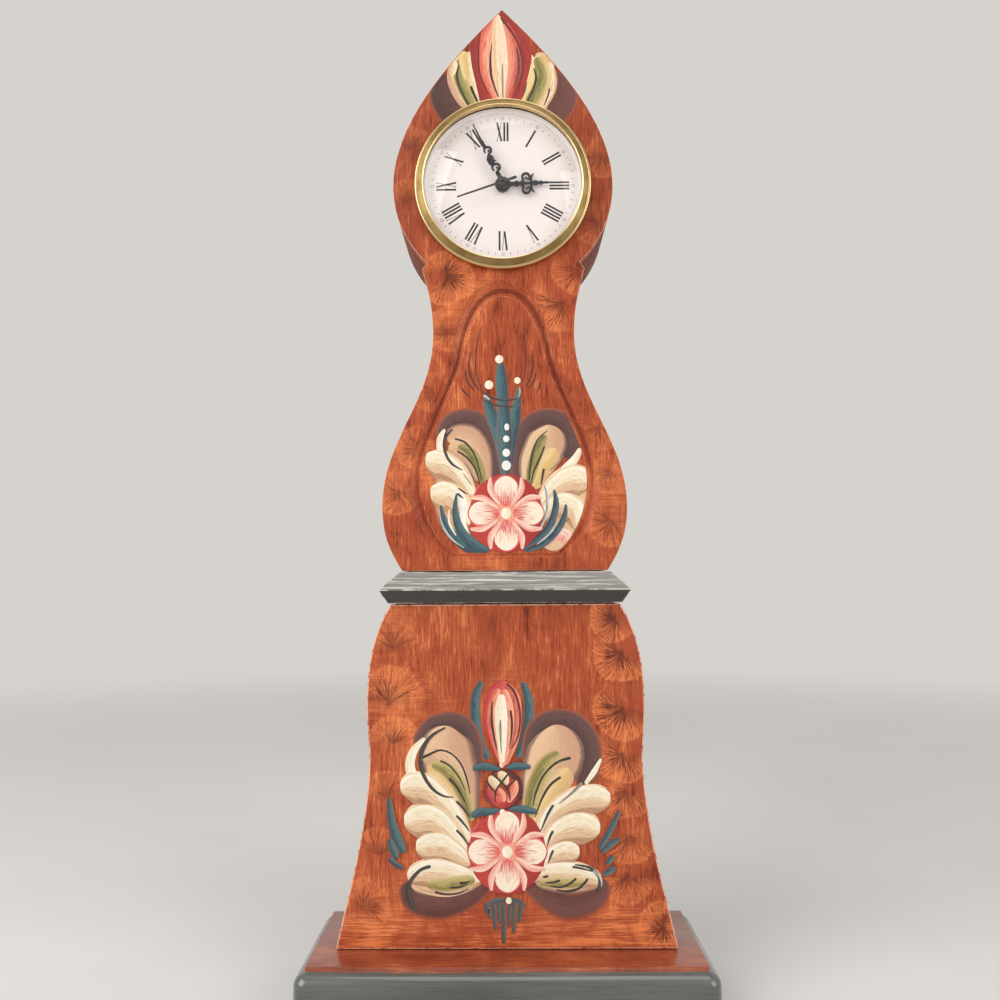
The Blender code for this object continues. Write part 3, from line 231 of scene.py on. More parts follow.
def seat(piece, name, body, slot, *nodes):
    """Names a finished piece, lets it ride on its body, and has it stand for its CAD nodes."""
    piece.name = name
    piece.data.name = name
    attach(piece, body)
    if nodes:
        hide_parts(*nodes)


def brushed_stain(finish, stretch, lift=0.0):
    """Brushed red-brown stain, with streaks and pores along the grain, and the fine lines for its relief."""
    streak = finish.noise(170, [s * 4 if s < 1 else s for s in stretch], detail=4, rough=0.6, distort=0.6)
    grain = finish.noise(1300, stretch, detail=5, rough=0.65, distort=0.3)
    fine = finish.noise(3000, stretch, detail=3, rough=0.6)
    cloud = finish.noise(38, (1, 1, 0.7), detail=5, rough=0.65, distort=1.2)
    tone = finish.sum("ADD", finish.blend((streak, 0.22), (grain, 0.34), (fine, 0.26), (cloud, 0.38)), lift)
    deep = finish.two_tone(tone, colour(104, 40, 26), colour(172, 80, 49), 0.46, 0.6)
    stain = finish.two_tone(tone, deep, colour(236, 138, 84), 0.6, 0.76)
    pores = finish.fade(fine, 0.28, 0.4, 0.35, 0.0)
    return finish.mix(pores, stain, colour(92, 36, 22)), fine


def run_along(finish):
    """Coordinates that follow a moulded edge round its mitres: the run, and the height across it."""
    run = finish.blend((finish.axis("X"), 1.0), (finish.axis("Y"), 1.0))
    return finish.node("CombineXYZ", {0: run, 2: finish.axis("Z")})


plinth_step = Vector((0, 0, plinth_fillet))
plinth = block((plinth_low + plinth_high - plinth_step) / 2, plinth_high - plinth_low - plinth_step)
choose(plinth, "EDGE", lambda middle, run: abs(run.z) > 0.9 and middle.y < 0)
bpy.ops.mesh.bevel(offset=plinth_corner, segments=8)
choose(plinth, "EDGE", lambda middle, run: middle.z > plinth_shoulder - MM and middle.y < plinth_high.y - MM)
bpy.ops.mesh.bevel(offset=plinth_round, segments=10)
choose(plinth, "FACE", lambda middle, normal: normal.z > 0.99 and middle.z > plinth_shoulder - 0.1 * MM)
bpy.ops.mesh.extrude_region_move(TRANSFORM_OT_translate={"value": (0, 0, plinth_fillet)})
bpy.ops.object.mode_set(mode="OBJECT")
ease_arrises(plinth, plinth_ease)

plinth_finish = Finish("plinth_paint_and_stain", Coat_Roughness=0.1)
along_board = (0.04, 1, 1)
plinth_stain = brushed_stain(plinth_finish, along_board)[0]
paint_run = run_along(plinth_finish)
paint_streak = plinth_finish.noise(700, along_board, detail=4, rough=0.6, place=paint_run)
paint_cloud = plinth_finish.noise(45, (0.4, 1, 1), detail=3)
paint_tone = plinth_finish.blend((paint_streak, 0.4), (paint_cloud, 0.6))
grey_paint = plinth_finish.two_tone(paint_tone, colour(62, 66, 61), colour(88, 91, 85), 0.36, 0.66)
paint_line = plinth_finish.blend((plinth_finish.axis("Z"), 1.0), (plinth_finish.noise(70), 1.4 * MM))
stained_part = plinth_finish.fade(paint_line, plinth_shoulder + 0.6 * MM, plinth_shoulder + 1.0 * MM)
dark_stain = plinth_finish.mix(0.4, plinth_stain, colour(88, 42, 28))
plinth_finish.shade("Base Color", plinth_finish.mix(stained_part, grey_paint, dark_stain))
plinth_finish.shade("Coat Weight", plinth_finish.fade(stained_part, 0.0, 1.0, 1.0, 0.35))
plinth_finish.rough(paint_streak, 0.24, 0.38)
plinth_finish.bump(paint_tone, 0.1 * MM)
plinth_finish.dress(plinth)
seat(plinth, "painted_plinth", "case", "plinth", "base_board")

# Trunk: a block of planed softwood, sawn to a flaring outline and screwed to the plinth from below. It is
# stained, then dabbed with dark glaze that was drawn into fans along its edges, and varnished.
trunk_low, trunk_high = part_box("lower_case")
trunk_waist = (59 * MM, trunk_low.z + 81 * MM)
trunk_top = (50.2 * MM, trunk_high.z)
case_front = trunk_low.y
case_back = trunk_high.y
arris = 0.6 * MM
glaze_strength = 0.78
glow_strength = 0.8
painted_side_shade = 0.55
fan_seed_step = 7.3


def sampled(curves, steps=22):
    """Points along joined curves, each from its first point, its two handles in mm and its last point."""
    points = []
    for first, leave, arrive, last in curves:
        start, end = (Vector((x, 0, z)) for x, z in (first, last))
        out, back = (Vector((x * MM, 0, z * MM)) for x, z in (leave, arrive))
        points += interpolate_bezier(start, start + out, end + back, end, steps)[:-1]
    points.append(end)
    return points


def draw_line(points, closed=False):
    """Draws an edge chain through points, the start of a sawn or turned piece."""
    clear_bench()
    bpy.ops.curve.primitive_bezier_curve_add(location=(0, 0, 0))
    line = bpy.context.object
    line.data.splines.clear()
    spline = line.data.splines.new("POLY")
    spline.points.add(len(points) - 1)
    for drawn, point in zip(spline.points, points):
        drawn.co = (*point, 1)
    spline.use_cyclic_u = closed
    bpy.ops.object.convert(target="MESH")
    return bpy.context.object


def sawn_block(right_side):
    """A block sawn to an outline: the right side is mirrored, filled, and given the board's thickness."""
    left_side = [Vector((-point.x, 0, point.z)) for point in reversed(right_side)]
    sawn = draw_line([point + Vector((0, case_front, 0)) for point in right_side + left_side], closed=True)
    open_mesh()
    bpy.ops.mesh.remove_doubles(threshold=0.01 * MM)
    bpy.ops.mesh.edge_face_add()
    bpy.ops.mesh.extrude_region_move(TRANSFORM_OT_translate={"value": (0, case_back - case_front, 0)})
    close_mesh()
    return sawn


def fan_group():
    """One dab of dark glaze drawn out into a fan: dark hairs from a core, pale ones between, a pale rim."""
    group = bpy.data.node_groups.new("glaze_fan", "ShaderNodeTree")
    for name in ("Place", "Core"):
        group.interface.new_socket(name, in_out="INPUT", socket_type="NodeSocketVector")
    for name in ("Turn", "Reach", "Spread", "Seed"):
        group.interface.new_socket(name, in_out="INPUT", socket_type="NodeSocketFloat")
    for name in ("Dark", "Light"):
        group.interface.new_socket(name, in_out="OUTPUT", socket_type="NodeSocketFloat")
    fan = Nodes(group)
    given = group.nodes.new("NodeGroupInput").outputs
    away = fan.node("VectorMath", {0: given["Place"], 1: given["Core"]}, operation="SUBTRACT")
    turned = fan.node("VectorRotate", {"Vector": away, "Angle": given["Turn"]}, rotation_type="Y_AXIS")
    angle = fan.sum("ARCTAN2", fan.axis("Z", turned), fan.axis("X", turned))
    length = fan.node("VectorMath", {0: turned}, output="Value", operation="LENGTH")
    wander = fan.noise(80, detail=2, place=given["Place"])
    reach = fan.sum("DIVIDE", length, given["Reach"])
    reach = fan.sum("ADD", reach, fan.fade(wander, 0.2, 0.8, -0.1, 0.1))
    squiggle = fan.noise(520, detail=2, place=given["Place"])
    curl = fan.blend((angle, 20.0), (reach, 4.0), (squiggle, 4.2))
    hairs = fan.node("CombineXYZ", {0: curl, 1: reach, 2: given["Seed"]})
    hair = fan.noise(1.0, (1, 1.6, 1), detail=2, rough=0.6, place=hairs)
    near = fan.fade(reach, 0.0, 0.9, 0.19, -0.05)
    streak = fan.fade(fan.sum("ADD", hair, near), 0.54, 0.64)
    half_spread = fan.sum("MULTIPLY", given["Spread"], 0.5)
    inside = fan.fade(fan.sum("ABSOLUTE", angle), half_spread, given["Spread"], 1.0, 0.0)
    core = fan.fade(reach, 0.0, 0.15, 0.8, 0.0)
    drawn = fan.sum("MULTIPLY", fan.sum("MULTIPLY", streak, inside), fan.fade(reach, 0.5, 0.95, 1.0, 0.0))
    ragged = fan.sum("ADD", reach, fan.fade(hair, 0.3, 0.7, -0.08, 0.08))
    within = fan.sum("MULTIPLY", fan.fade(reach, 0.1, 0.8, 0.25, 0.9), fan.fade(ragged, 0.94, 1.02, 1, 0))
    pale_hairs = fan.sum("MULTIPLY", within, fan.fade(hair, 0.42, 0.54, 1.0, 0.1))
    rim = fan.sum("MULTIPLY", fan.fade(reach, 0.82, 0.97, 0.0, 0.85), fan.fade(reach, 0.97, 1.02, 1, 0))
    rim = fan.sum("MULTIPLY", rim, fan.fade(hair, 0.36, 0.6, 1.0, 0.45))
    light = fan.sum("MULTIPLY", fan.sum("MAXIMUM", pale_hairs, rim), inside)
    out = group.nodes.new("NodeGroupOutput")
    fan.feed(out.inputs["Dark"], fan.sum("MAXIMUM", core, drawn))
    fan.feed(out.inputs["Light"], light)
    return group


glaze_fan = fan_group()


def stained_pine(name, fans, darkened, cross_brushed=(0, 1)):
    """The case's finish: stain brushed along the grain, glaze fans on the front face, satin varnish, and the
    side faces painted darker as painted shade.

    fans lists (x mm, z mm, direction in degrees, reach mm, half spread in degrees, strength). darkened is
    how much darker the stain gets between two heights in mm. cross_brushed is the two heights in mm
    between which the streaks turn, from across at the foot to along the grain."""
    pine = Finish(name, Specular_IOR_Level=0.16, Coat_Weight=0.06, Coat_Roughness=0.18)
    stain, lines = brushed_stain(pine, (1, 1, 0.07))
    across = brushed_stain(pine, (0.04, 1, 1), 0.05)[0]
    height = pine.axis("Z")
    low, high = cross_brushed
    ragged = pine.blend((height, 1.0), (pine.noise(60), 16 * MM))
    smears = pine.fade(pine.noise(26, detail=2), 0.5, 0.68, 0.0, 0.5)
    crossed = pine.sum("MAXIMUM", smears, pine.fade(ragged, low * MM, high * MM, 1.0, 0.0))
    stain = pine.mix(crossed, stain, across)
    front = pine.fade(pine.axis("Y"), case_front + 0.5 * MM, case_front + 1.5 * MM, 1.0, 0.0)
    flat_place = pine.node("VectorMath", {0: pine.place, 1: (1, 0, 1)}, operation="MULTIPLY")
    dark, light = 0.0, 0.0
    for number, (x, z, direction, reach, spread, strength) in enumerate(fans):
        fan = pine.tree.nodes.new("ShaderNodeGroup")
        fan.node_tree = glaze_fan
        pine.feed(fan.inputs["Place"], flat_place)
        settings = {"Core": (x * MM, 0, z * MM), "Turn": math.radians(direction), "Reach": reach * MM,
                    "Spread": math.radians(spread), "Seed": fan_seed_step * number}
        for socket, value in settings.items():
            fan.inputs[socket].default_value = value
        dark = pine.sum("MAXIMUM", dark, pine.sum("MULTIPLY", fan.outputs["Dark"], strength))
        light = pine.sum("MAXIMUM", light, pine.sum("MULTIPLY", fan.outputs["Light"], strength))
    glow = pine.sum("MULTIPLY", pine.sum("MULTIPLY", light, front), glow_strength)
    glaze = pine.sum("MULTIPLY", pine.sum("MULTIPLY", dark, front), glaze_strength)
    tinted = pine.mix(glaze, pine.mix(glow, stain, colour(242, 142, 86)), colour(70, 28, 22))
    # Painted shade: back from the front face, the sides are painted dark brown.
    side = pine.fade(pine.axis("Y"), case_front + 3 * MM, case_front + 8 * MM)
    tinted = pine.mix(pine.sum("MULTIPLY", side, painted_side_shade), tinted, colour(62, 32, 25))
    amount, low, high = darkened
    tinted = pine.mix(pine.fade(height, low * MM, high * MM, 0.0, amount), tinted, colour(92, 40, 26))
    pine.shade("Base Color", tinted)
    pine.shade("Roughness", pine.blend((pine.fade(lines, 0.3, 0.7, 0.36, 0.52), 1.0), (side, 0.24)))
    pine.bump(lines, 0.08 * MM)
    return pine


def worn_and_highlit_arris_finish(name):
    """Pale broken patches on the arrises: partly stain rubbed off to the pale wood, partly a painted
    highlight.
    """
    worn = Finish(name, Specular_IOR_Level=0.3, Coat_Weight=0.12, Coat_Roughness=0.25)
    rubbed = worn.noise(260, detail=4, rough=0.7)
    worn.shade("Base Color", worn.two_tone(rubbed, colour(166, 82, 54), colour(236, 184, 158), 0.36, 0.52))
    worn.rough(rubbed, 0.35, 0.55)
    return worn


trunk_fans = [
    (47.4, 161, 215, 10.5, 150, 1.0), (-61.5, 39.3, 60, 12, 150, 0.65), (50.7, 121.8, 225, 12.8, 125, 1.0),
    (50.2, 103, 238, 12.5, 120, 0.95), (51.3, 87.7, 250, 12, 115, 0.75), (52.4, 69, 260, 12, 110, 0.7),
    (51.3, 52, 260, 12, 115, 0.75), (66.3, 31, 200, 11, 185, 1.0), (-48.7, 148.2, 90, 12, 110, 0.6),
    (-50.4, 125, 88, 15.5, 105, 0.85), (-48.7, 107.5, 92, 11.5, 110, 0.9),
    (-51.5, 85.5, 92, 10.5, 105, 0.7), (-54.8, 61, 88, 11, 105, 0.6), (50.4, 146, 228, 12.5, 125, 1.0),
]
trunk = sawn_block(sampled([
    ((trunk_high.x, trunk_low.z), (-4.6, 22), (0, -30), trunk_waist),
    (trunk_waist, (2, 19), (12.3, -18.2), trunk_top),
]))
trunk_finish = stained_pine("trunk_stained_pine", trunk_fans, (0.06, 80, 160), cross_brushed=(40, 52))
# The eased arrises are painted pale: partly worn wood, partly a painted highlight where the rounded edge
# catches light.
worn_and_highlit_arris = worn_and_highlit_arris_finish("worn_and_highlit_arris")
trunk_finish.dress(trunk)
trunk.data.materials.append(worn_and_highlit_arris.material)
ease_arrises(trunk, arris, 3, worn=1)
seat(trunk, "trunk_block", "case", "pine", "lower_case")

# Waist moulding: a plate planed to a V along its front and sides, glued between the two blocks over the
# dowels. It has the plinth's grey-green gloss paint, brushed along, with lumps and scratches on its edge.
# Its upper slope is painted paler as a painted highlight, and its lower slope darker as painted shade.
moulding_low, moulding_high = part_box("waist_moulding")
moulding_reveal = 1.2 * MM
moulding_apex = moulding_low.z + 6 * MM
moulding_foot_half = trunk_top[0] + moulding_reveal
waist_foot_half = 45.2 * MM
moulding_head_half = waist_foot_half + moulding_reveal
moulding_ease = 0.4 * MM
moulding_lumps = 0.25 * MM
lump_size = 9 * MM
lump_cuts = 24
edge_blur = 0.3 * MM

clear_bench()
bpy.ops.mesh.primitive_plane_add(size=1, location=(0, 0, moulding_low.z))
moulding = bpy.context.object
bpy.ops.object.transform_apply(location=True, rotation=True, scale=True)
open_mesh()
for rise in (moulding_apex - moulding_low.z, moulding_high.z - moulding_apex):
    bpy.ops.mesh.extrude_region_move(TRANSFORM_OT_translate={"value": (0, 0, rise)})
close_mesh()
moulding_rings = [(moulding_low.z, moulding_foot_half, case_front - moulding_reveal),
                  (moulding_apex, moulding_high.x, moulding_low.y),
                  (moulding_high.z, moulding_head_half, case_front - moulding_reveal)]
for corner in moulding.data.vertices:
    ring_level, half, front = min(moulding_rings, key=lambda ring: abs(ring[0] - corner.co.z))
    corner.co = (math.copysign(half, corner.co.x), front if corner.co.y < 0 else case_back, ring_level)
moulding_finish = Finish("moulding_grey_paint_with_painted_light", Coat_Weight=0.8, Coat_Roughness=0.1)
moulding_finish.dress(moulding)
# The moulding's eased arrises take a pale broken colour: partly paint rubbed off, partly a painted highlight
# along the apex edge.
rubbed_and_highlit_paint = Finish("rubbed_paint_edge_and_highlight", Coat_Weight=0.3, Coat_Roughness=0.2)
rubbed = rubbed_and_highlit_paint.noise(330, (0.4, 1, 1), detail=4, rough=0.7)
rubbed_and_highlit_tone = rubbed_and_highlit_paint.two_tone(rubbed, colour(104, 102, 95), colour(206, 200, 190), 0.4, 0.56)
rubbed_and_highlit_paint.shade("Base Color", rubbed_and_highlit_tone)
rubbed_and_highlit_paint.rough(rubbed, 0.22, 0.4)
moulding.data.materials.append(rubbed_and_highlit_paint.material)
ease_arrises(moulding, moulding_ease, 3, worn=1)
open_mesh()
bpy.ops.mesh.subdivide(number_cuts=lump_cuts)
bpy.ops.object.mode_set(mode="OBJECT")
lump_pattern = bpy.data.textures.new("brush_lumps", "CLOUDS")
lump_pattern.noise_scale = lump_size
lumps = moulding.modifiers.new("lumps", "DISPLACE")
lumps.texture = lump_pattern
lumps.strength = moulding_lumps
lumps.mid_level = 1.0
bpy.ops.object.modifier_apply(modifier=lumps.name)
bpy.ops.object.shade_smooth_by_angle(angle=smooth_angle)
moulding_run = run_along(moulding_finish)
bristles = moulding_finish.noise(1000, (0.02, 1, 1), detail=4, rough=0.6, place=moulding_run)
scratches = moulding_finish.noise(950, (0.025, 1, 1), detail=5, rough=0.7, distort=0.6, place=moulding_run)
# Painted light: below the apex the paint is painted darker as painted shade, and above it paler as a painted
# highlight, over the real scratches.
shaded_lower_side = moulding_finish.mix(bristles, colour(30, 30, 27), colour(42, 41, 37))
lit_upper_side_and_wear = moulding_finish.two_tone(bristles, colour(106, 102, 95), colour(131, 126, 118))
lit_upper_side_and_wear = moulding_finish.two_tone(scratches, lit_upper_side_and_wear, colour(204, 199, 190), 0.52, 0.62)
deep_scratch = moulding_finish.fade(scratches, 0.4, 0.46, 0.7, 0.0)
lit_upper_side_and_wear = moulding_finish.mix(deep_scratch, lit_upper_side_and_wear, colour(70, 68, 62))
edge_height = moulding_finish.axis("Z")
lit_upper_share = moulding_finish.fade(edge_height, moulding_apex - edge_blur, moulding_apex + edge_blur)
moulding_finish.shade("Base Color", moulding_finish.mix(lit_upper_share, shaded_lower_side, lit_upper_side_and_wear))
moulding_finish.rough(scratches, 0.18, 0.36)
moulding_finish.bump(scratches, 0.25 * MM)
seat(moulding, "painted_moulding", "case", "paint", "waist_moulding")

# Fasteners in the case: two bare beech dowels keep the blocks and the moulding in line, and two countersunk
# steel screws hold the plinth to the trunk from below. They keep the shapes of their solids.
def dress_nodes(finish, *names):
    """Gives a finish to pieces that keep the shapes of their solids."""
    finish.dress(*[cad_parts[name] for name in names])


def plain_metal(name, dark, pale, scale=1400):
    """Bare metal with fine brushed marks."""
    metal = Finish(name, Metallic=1.0)
    brushed = metal.noise(scale, (0.1, 1, 1), detail=3)
    metal.shade("Base Color", metal.two_tone(brushed, dark, pale))
    metal.rough(brushed, 0.26, 0.42)
    metal.bump(brushed, 0.008 * MM)
    return metal


def moulded(name, dark, pale, smooth, matt):
    """Moulded plastic or rubber with a fine spark-eroded grain and a faint cloud in its colour."""
    plastic = Finish(name)
    grain = plastic.noise(4200, detail=2)
    cloud = plastic.noise(90, detail=3)
    plastic.shade("Base Color", plastic.mix(cloud, dark, pale))
    plastic.rough(grain, smooth, matt)
    plastic.bump(grain, 0.02 * MM)
    return plastic


bare_beech = Finish("bare_beech")
beech_grain = bare_beech.noise(900, (1, 1, 0.05), detail=4)
beech_tone = bare_beech.two_tone(beech_grain, colour(190, 144, 98), colour(222, 180, 134))
bare_beech.shade("Base Color", beech_tone)
bare_beech.rough(beech_grain, 0.55, 0.7)
dress_nodes(bare_beech, "case_dowel_left", "case_dowel_right")
plain_steel = plain_metal("plain_steel", colour(150, 152, 154), colour(196, 198, 200))
dress_nodes(plain_steel, "base_screw_left", "base_screw_right")

# Hood and waist: one block of the same softwood, sawn to the figure of a tall clock, with a hole bored right
# through for the clock. The door is only carved: a gouged groove that is steep at the door's edge.
hood_low, hood_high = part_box("upper_case")
bezel_low, bezel_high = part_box("bezel")
dial_z = (bezel_low.z + bezel_high.z) / 2
bore_radius = 38.2 * MM
round_steps = 128
head_radius = 50.4 * MM
notch_drop = 36.5 * MM
notch = (math.sqrt(head_radius ** 2 - notch_drop ** 2), dial_z - notch_drop)
shoulder = (notch[0] + 2.2 * MM, notch[1] - 3 * MM)
neck = (31.9 * MM, shoulder[1] - 31 * MM)
belly = (hood_high.x, hood_low.z + 29 * MM)
head_turn = math.asin(notch_drop / head_radius)
head_handle = 4 / 3 * math.tan(head_turn / 4) * head_radius / MM
head_leave = (head_handle * math.sin(head_turn), head_handle * math.cos(head_turn))
head_widest = (head_radius, dial_z)
door_foot = (22.9 * MM, hood_low.z + 7.5 * MM)
door_belly = (belly[0] - 17.3 * MM, belly[1] + 10 * MM)
door_neck = (neck[0] - 13.5 * MM, neck[1] - 10 * MM)
door_top = (0, bezel_low.z - 12 * MM)
# The groove's section: how far out from the door's edge and how deep, in mm, from its worn edge outwards.
groove_section = [(-0.3, -0.5), (0.15, 0.2), (1.5, 1.75), (1.9, 2.1), (3, 1.75), (4.2, 0.95), (5.4, 0.15),
                  (5.9, -0.5)]


def cut(piece, cutter):
    """Cuts one piece with another, which is then thrown away."""
    saw = piece.modifiers.new("cut", "BOOLEAN")
    saw.object = cutter
    saw.operation = "DIFFERENCE"
    bpy.context.view_layer.objects.active = piece
    bpy.ops.object.modifier_apply(modifier=saw.name)
    bpy.data.objects.remove(cutter)


def lay_grid(columns, rows, place):
    """Adds a grid and lays its points where place says, by column and row, which it also returns."""
    clear_bench()
    bpy.ops.mesh.primitive_grid_add(x_subdivisions=columns, y_subdivisions=rows, size=1)
    grid = bpy.context.object
    spots = [(round((p.co.x + 0.5) * columns), round((p.co.y + 0.5) * rows)) for p in grid.data.vertices]
    for point, spot in zip(grid.data.vertices, spots):
        point.co = place(*spot)
    return grid, spots


def close_grid(grid):
    """Merges the grid's meeting edges and turns its faces outwards."""
    open_mesh()
    bpy.ops.mesh.remove_doubles(threshold=0.001 * MM)
    close_mesh()
    return grid


def ramp(value, low, high):
    """Eases from 0 at low to 1 at high."""
    share = min(max((value - low) / (high - low), 0), 1)
    return share * share * (3 - 2 * share)


hood_side = sampled([
    ((waist_foot_half, hood_low.z), (6, 9), (0, -12), belly),
    (belly, (0, 29.2), (0, -29.2), neck),
    (neck, (0, 13), (-2.6, -9), shoulder),
])
head_side = sampled([
    (shoulder, (-0.7, 1), (0.7, -1), notch),
    (notch, head_leave, (0, -head_handle), head_widest),
    (head_widest, (0, 29.9), (24.7, -24.7), (0, hood_high.z)),
])
door_side = [Vector((0, 0, door_foot[1]))] + sampled([
    (door_foot, (9, 7), (0, -11), door_belly),
    (door_belly, (0, 18), (5.2, -20), door_neck),
    (door_neck, (-2.4, 14), (9.5, 0.5), door_top),
])
door_outline = door_side + [Vector((-point.x, 0, point.z)) for point in reversed(door_side[1:-1])]


def groove_place(column, row):
    """A point of the groove's cutter: out from the door's outline, mitred, and wider over the arch."""
    before, here, after = (door_outline[(column + step) % len(door_outline)] for step in (-1, 0, 1))
    first, second = (here - before).normalized(), (after - here).normalized()
    out = Vector((first.z + second.z, 0, -first.x - second.x)).normalized()
    mitre = 1 / max(out.dot(Vector((first.z, 0, -first.x))), 0.6)
    above_foot = ramp(here.z, door_foot[1], door_foot[1] + 14 * MM)
    over_arch = ramp(here.z, door_neck[1], door_top[1])
    reach = 0.3 + 0.7 * above_foot + 0.4 * over_arch
    far, deep = groove_section[row % len(groove_section)]
    return here + out * (far * mitre * reach * MM) + Vector((0, case_front + deep * min(reach, 1) * MM, 0))


hood = sawn_block(hood_side + head_side[1:])
hood_fans = [
    (-25.6, 315, 0, 13, 190, 1.0), (-25.5, 290, 250, 10, 190, 0.65), (-32, 262, 200, 9, 170, 0.55),
    (-38, 237, 220, 10, 170, 0.65), (-47, 217, 250, 10, 180, 0.85), (27, 303, 215, 14, 85, 0.85),
    (42, 246, 250, 11, 120, 0.55), (46, 226, 255, 11, 120, 0.6), (47, 204, 240, 12, 150, 0.65),
    (45, 372, 250, 11, 120, 0.65), (-45, 350, 90, 11, 130, 0.6), (43, 340, 200, 11, 130, 0.6),
    (34, 318, 215, 12, 80, 0.6), (-43, 376, 100, 11, 120, 0.5),
]
hood_finish = stained_pine("hood_stained_pine", hood_fans, (0.24, 316, 342))
# Painted shade: the groove's bottom rows take a darker stain, darker still over the arch, to shade the
# recess.
groove_painted_shade = stained_pine("groove_painted_shade_stain", [], (0.6, 200, 262))
# Material slots of the groove's rows of faces: the worn and highlit edge, the facet, the bottom with painted
# shade and the long slope.
groove_slots = (1, 0, 2, 2, 0, 0, 0, 0)
hood_finish.dress(hood)
hood.data.materials.append(worn_and_highlit_arris.material)
hood.data.materials.append(groove_painted_shade.material)
ease_arrises(hood, arris, 3, worn=1)
groove, groove_spots = lay_grid(len(door_outline), len(groove_section), groove_place)
for face in groove.data.polygons:
    rows = [groove_spots[index][1] for index in face.vertices]
    face.material_index = groove_slots[min(rows)] if max(rows) - min(rows) == 1 else 0
for finish in (hood_finish, worn_and_highlit_arris, groove_painted_shade):
    groove.data.materials.append(finish.material)
cut(hood, close_grid(groove))
clear_bench()
bore_length = 4 * (case_back - case_front)
bpy.ops.mesh.primitive_cylinder_add(
    vertices=round_steps, radius=bore_radius, depth=bore_length, location=(0, 0, dial_z),
    rotation=(math.pi / 2, 0, 0))
cut(hood, bpy.context.object)
hood.select_set(True)
bpy.ops.object.shade_smooth_by_angle(angle=smooth_angle)
seat(hood, "hood_and_waist_block", "case", "pine", "upper_case")

# Flower painting: folk flowers in oil paint, laid on the varnished wood with a round brush that carries two
# colours at once. Each stroke is one pass of the brush, and a later stroke lies on the earlier ones.
film_step = 0.0035 * MM
film_root = 0.06 * MM
film_columns = 22
film_shift = 37
film_smooth = math.radians(20)
film_rows = (0.0, 0.04, 0.5, 0.96, 1.0)
bore_margin = 0.5 * MM
top_margin = 0.8 * MM
door_foot_margin = 0.4 * MM
door_side_margin = 0.45 * MM
wood_tone = (170, 82, 52)
plum_tone = (104, 72, 65)
# Each paint is the brush's right and left colour, or, for along, the colours at the stroke's start and end.
paints = {
    "teal": ((46, 74, 84), (78, 110, 114), "across"),
    "slate": ((42, 62, 76), (80, 100, 108), "across"),
    "mist": ((120, 130, 128), (206, 210, 206), "across"),
    "drip": ((56, 74, 80), (88, 94, 92), "across"),
    "dark": ((52, 38, 31), (62, 48, 38), "across"),
    "outline": ((48, 43, 41), (78, 73, 69), "across"),
    "hair": ((64, 32, 26), (92, 46, 34), "across"),
    "grey": ((134, 120, 100), (156, 144, 124), "across"),
    "maroon": ((100, 32, 32), (118, 40, 36), "across"),
    "plum": ((80, 52, 49), (100, 67, 62), "across"),
    "plum_red": ((98, 54, 46), (112, 66, 58), "across"),
    "dark_plum": ((70, 40, 34), (90, 54, 46), "across"),
    "peach": ((204, 158, 126), (228, 188, 150), "across"),
    "blush": ((234, 194, 154), (208, 160, 128), "across"),
    "ochre": ((236, 206, 146), (222, 182, 116), "across"),
    "sand": ((224, 186, 140), (244, 224, 186), "across"),
    "olive": ((116, 110, 58), (164, 152, 92), "across"),
    "leaf": ((138, 124, 62), (190, 172, 110), "across"),
    "cream": ((242, 226, 192), (252, 242, 220), "across"),
    "pale_shell": ((222, 184, 146), (246, 226, 190), "across"),
    "shell": ((182, 138, 104), (236, 206, 168), "across"),
    "butter": ((190, 146, 100), (240, 212, 164), "across"),
    "white": ((236, 234, 226), (252, 248, 236), "across"),
    "red": ((168, 42, 40), (190, 58, 50), "across"),
    "crimson": ((146, 38, 33), (166, 50, 40), "across"),
    "salmon": ((218, 96, 76), (248, 172, 138), "across"),
    "coral": ((240, 150, 122), (192, 76, 66), "across"),
    "rose": ((190, 62, 60), (222, 100, 88), "across"),
    "pink_cream": ((246, 198, 160), (250, 220, 190), "across"),
    "petal": ((222, 88, 84), (252, 234, 212), "along"),
    "glow": ((240, 158, 134), (240, 158, 134), "along"),
    "curl": ((238, 164, 144), (250, 212, 192), "across"),
    "bud": ((92, 34, 36), (132, 50, 50), "across"),
}
strokes = []


def spline(knots, place):
    """A point of the smooth line through the knots, at a place from 0 to 1 along it."""
    spans = len(knots) - 1
    span = min(int(place * spans), spans - 1)
    t = place * spans - span
    a, b, c, d = (knots[min(max(span + step, 0), spans)] for step in (-1, 0, 1, 2))
    bend, twist = 2 * a - 5 * b + 4 * c - d, 3 * b - a - 3 * c + d
    return (2 * b + (c - a) * t + bend * t ** 2 + twist * t ** 3) / 2


def line_runs(line):
    """How far each point of a line lies from its start, along the line."""
    runs = [0.0]
    for here, after in zip(line, line[1:]):
        runs.append(runs[-1] + (after.xy - here.xy).length)
    return runs


def brush_line(points, columns):
    """A stroke's middle line and its half widths, in mm, with round ends, from (x, z, width)."""
    knots = [Vector(point) for point in points]
    line = [spline(knots, (1 - math.cos(math.pi * step / columns)) / 2) for step in range(columns + 1)]
    runs = line_runs(line)
    halves = []
    for run, spot in zip(runs, line):
        half = max(spot.z, 0) / 2
        for distance, end in ((run, line[0]), (runs[-1] - run, line[-1])):
            cap = min(max(end.z, 0.05) / 2, runs[-1] / 2)
            if distance < cap:
                half *= math.sqrt(max(1 - ((cap - distance) / cap) ** 2, 0))
        halves.append(half)
    return line, halves


def across_stroke(line, column):
    """The direction to the left of the brush's travel."""
    travel = (line[min(column + 1, len(line) - 1)].xy - line[max(column - 1, 0)].xy).normalized()
    return Vector((-travel.y, travel.x))


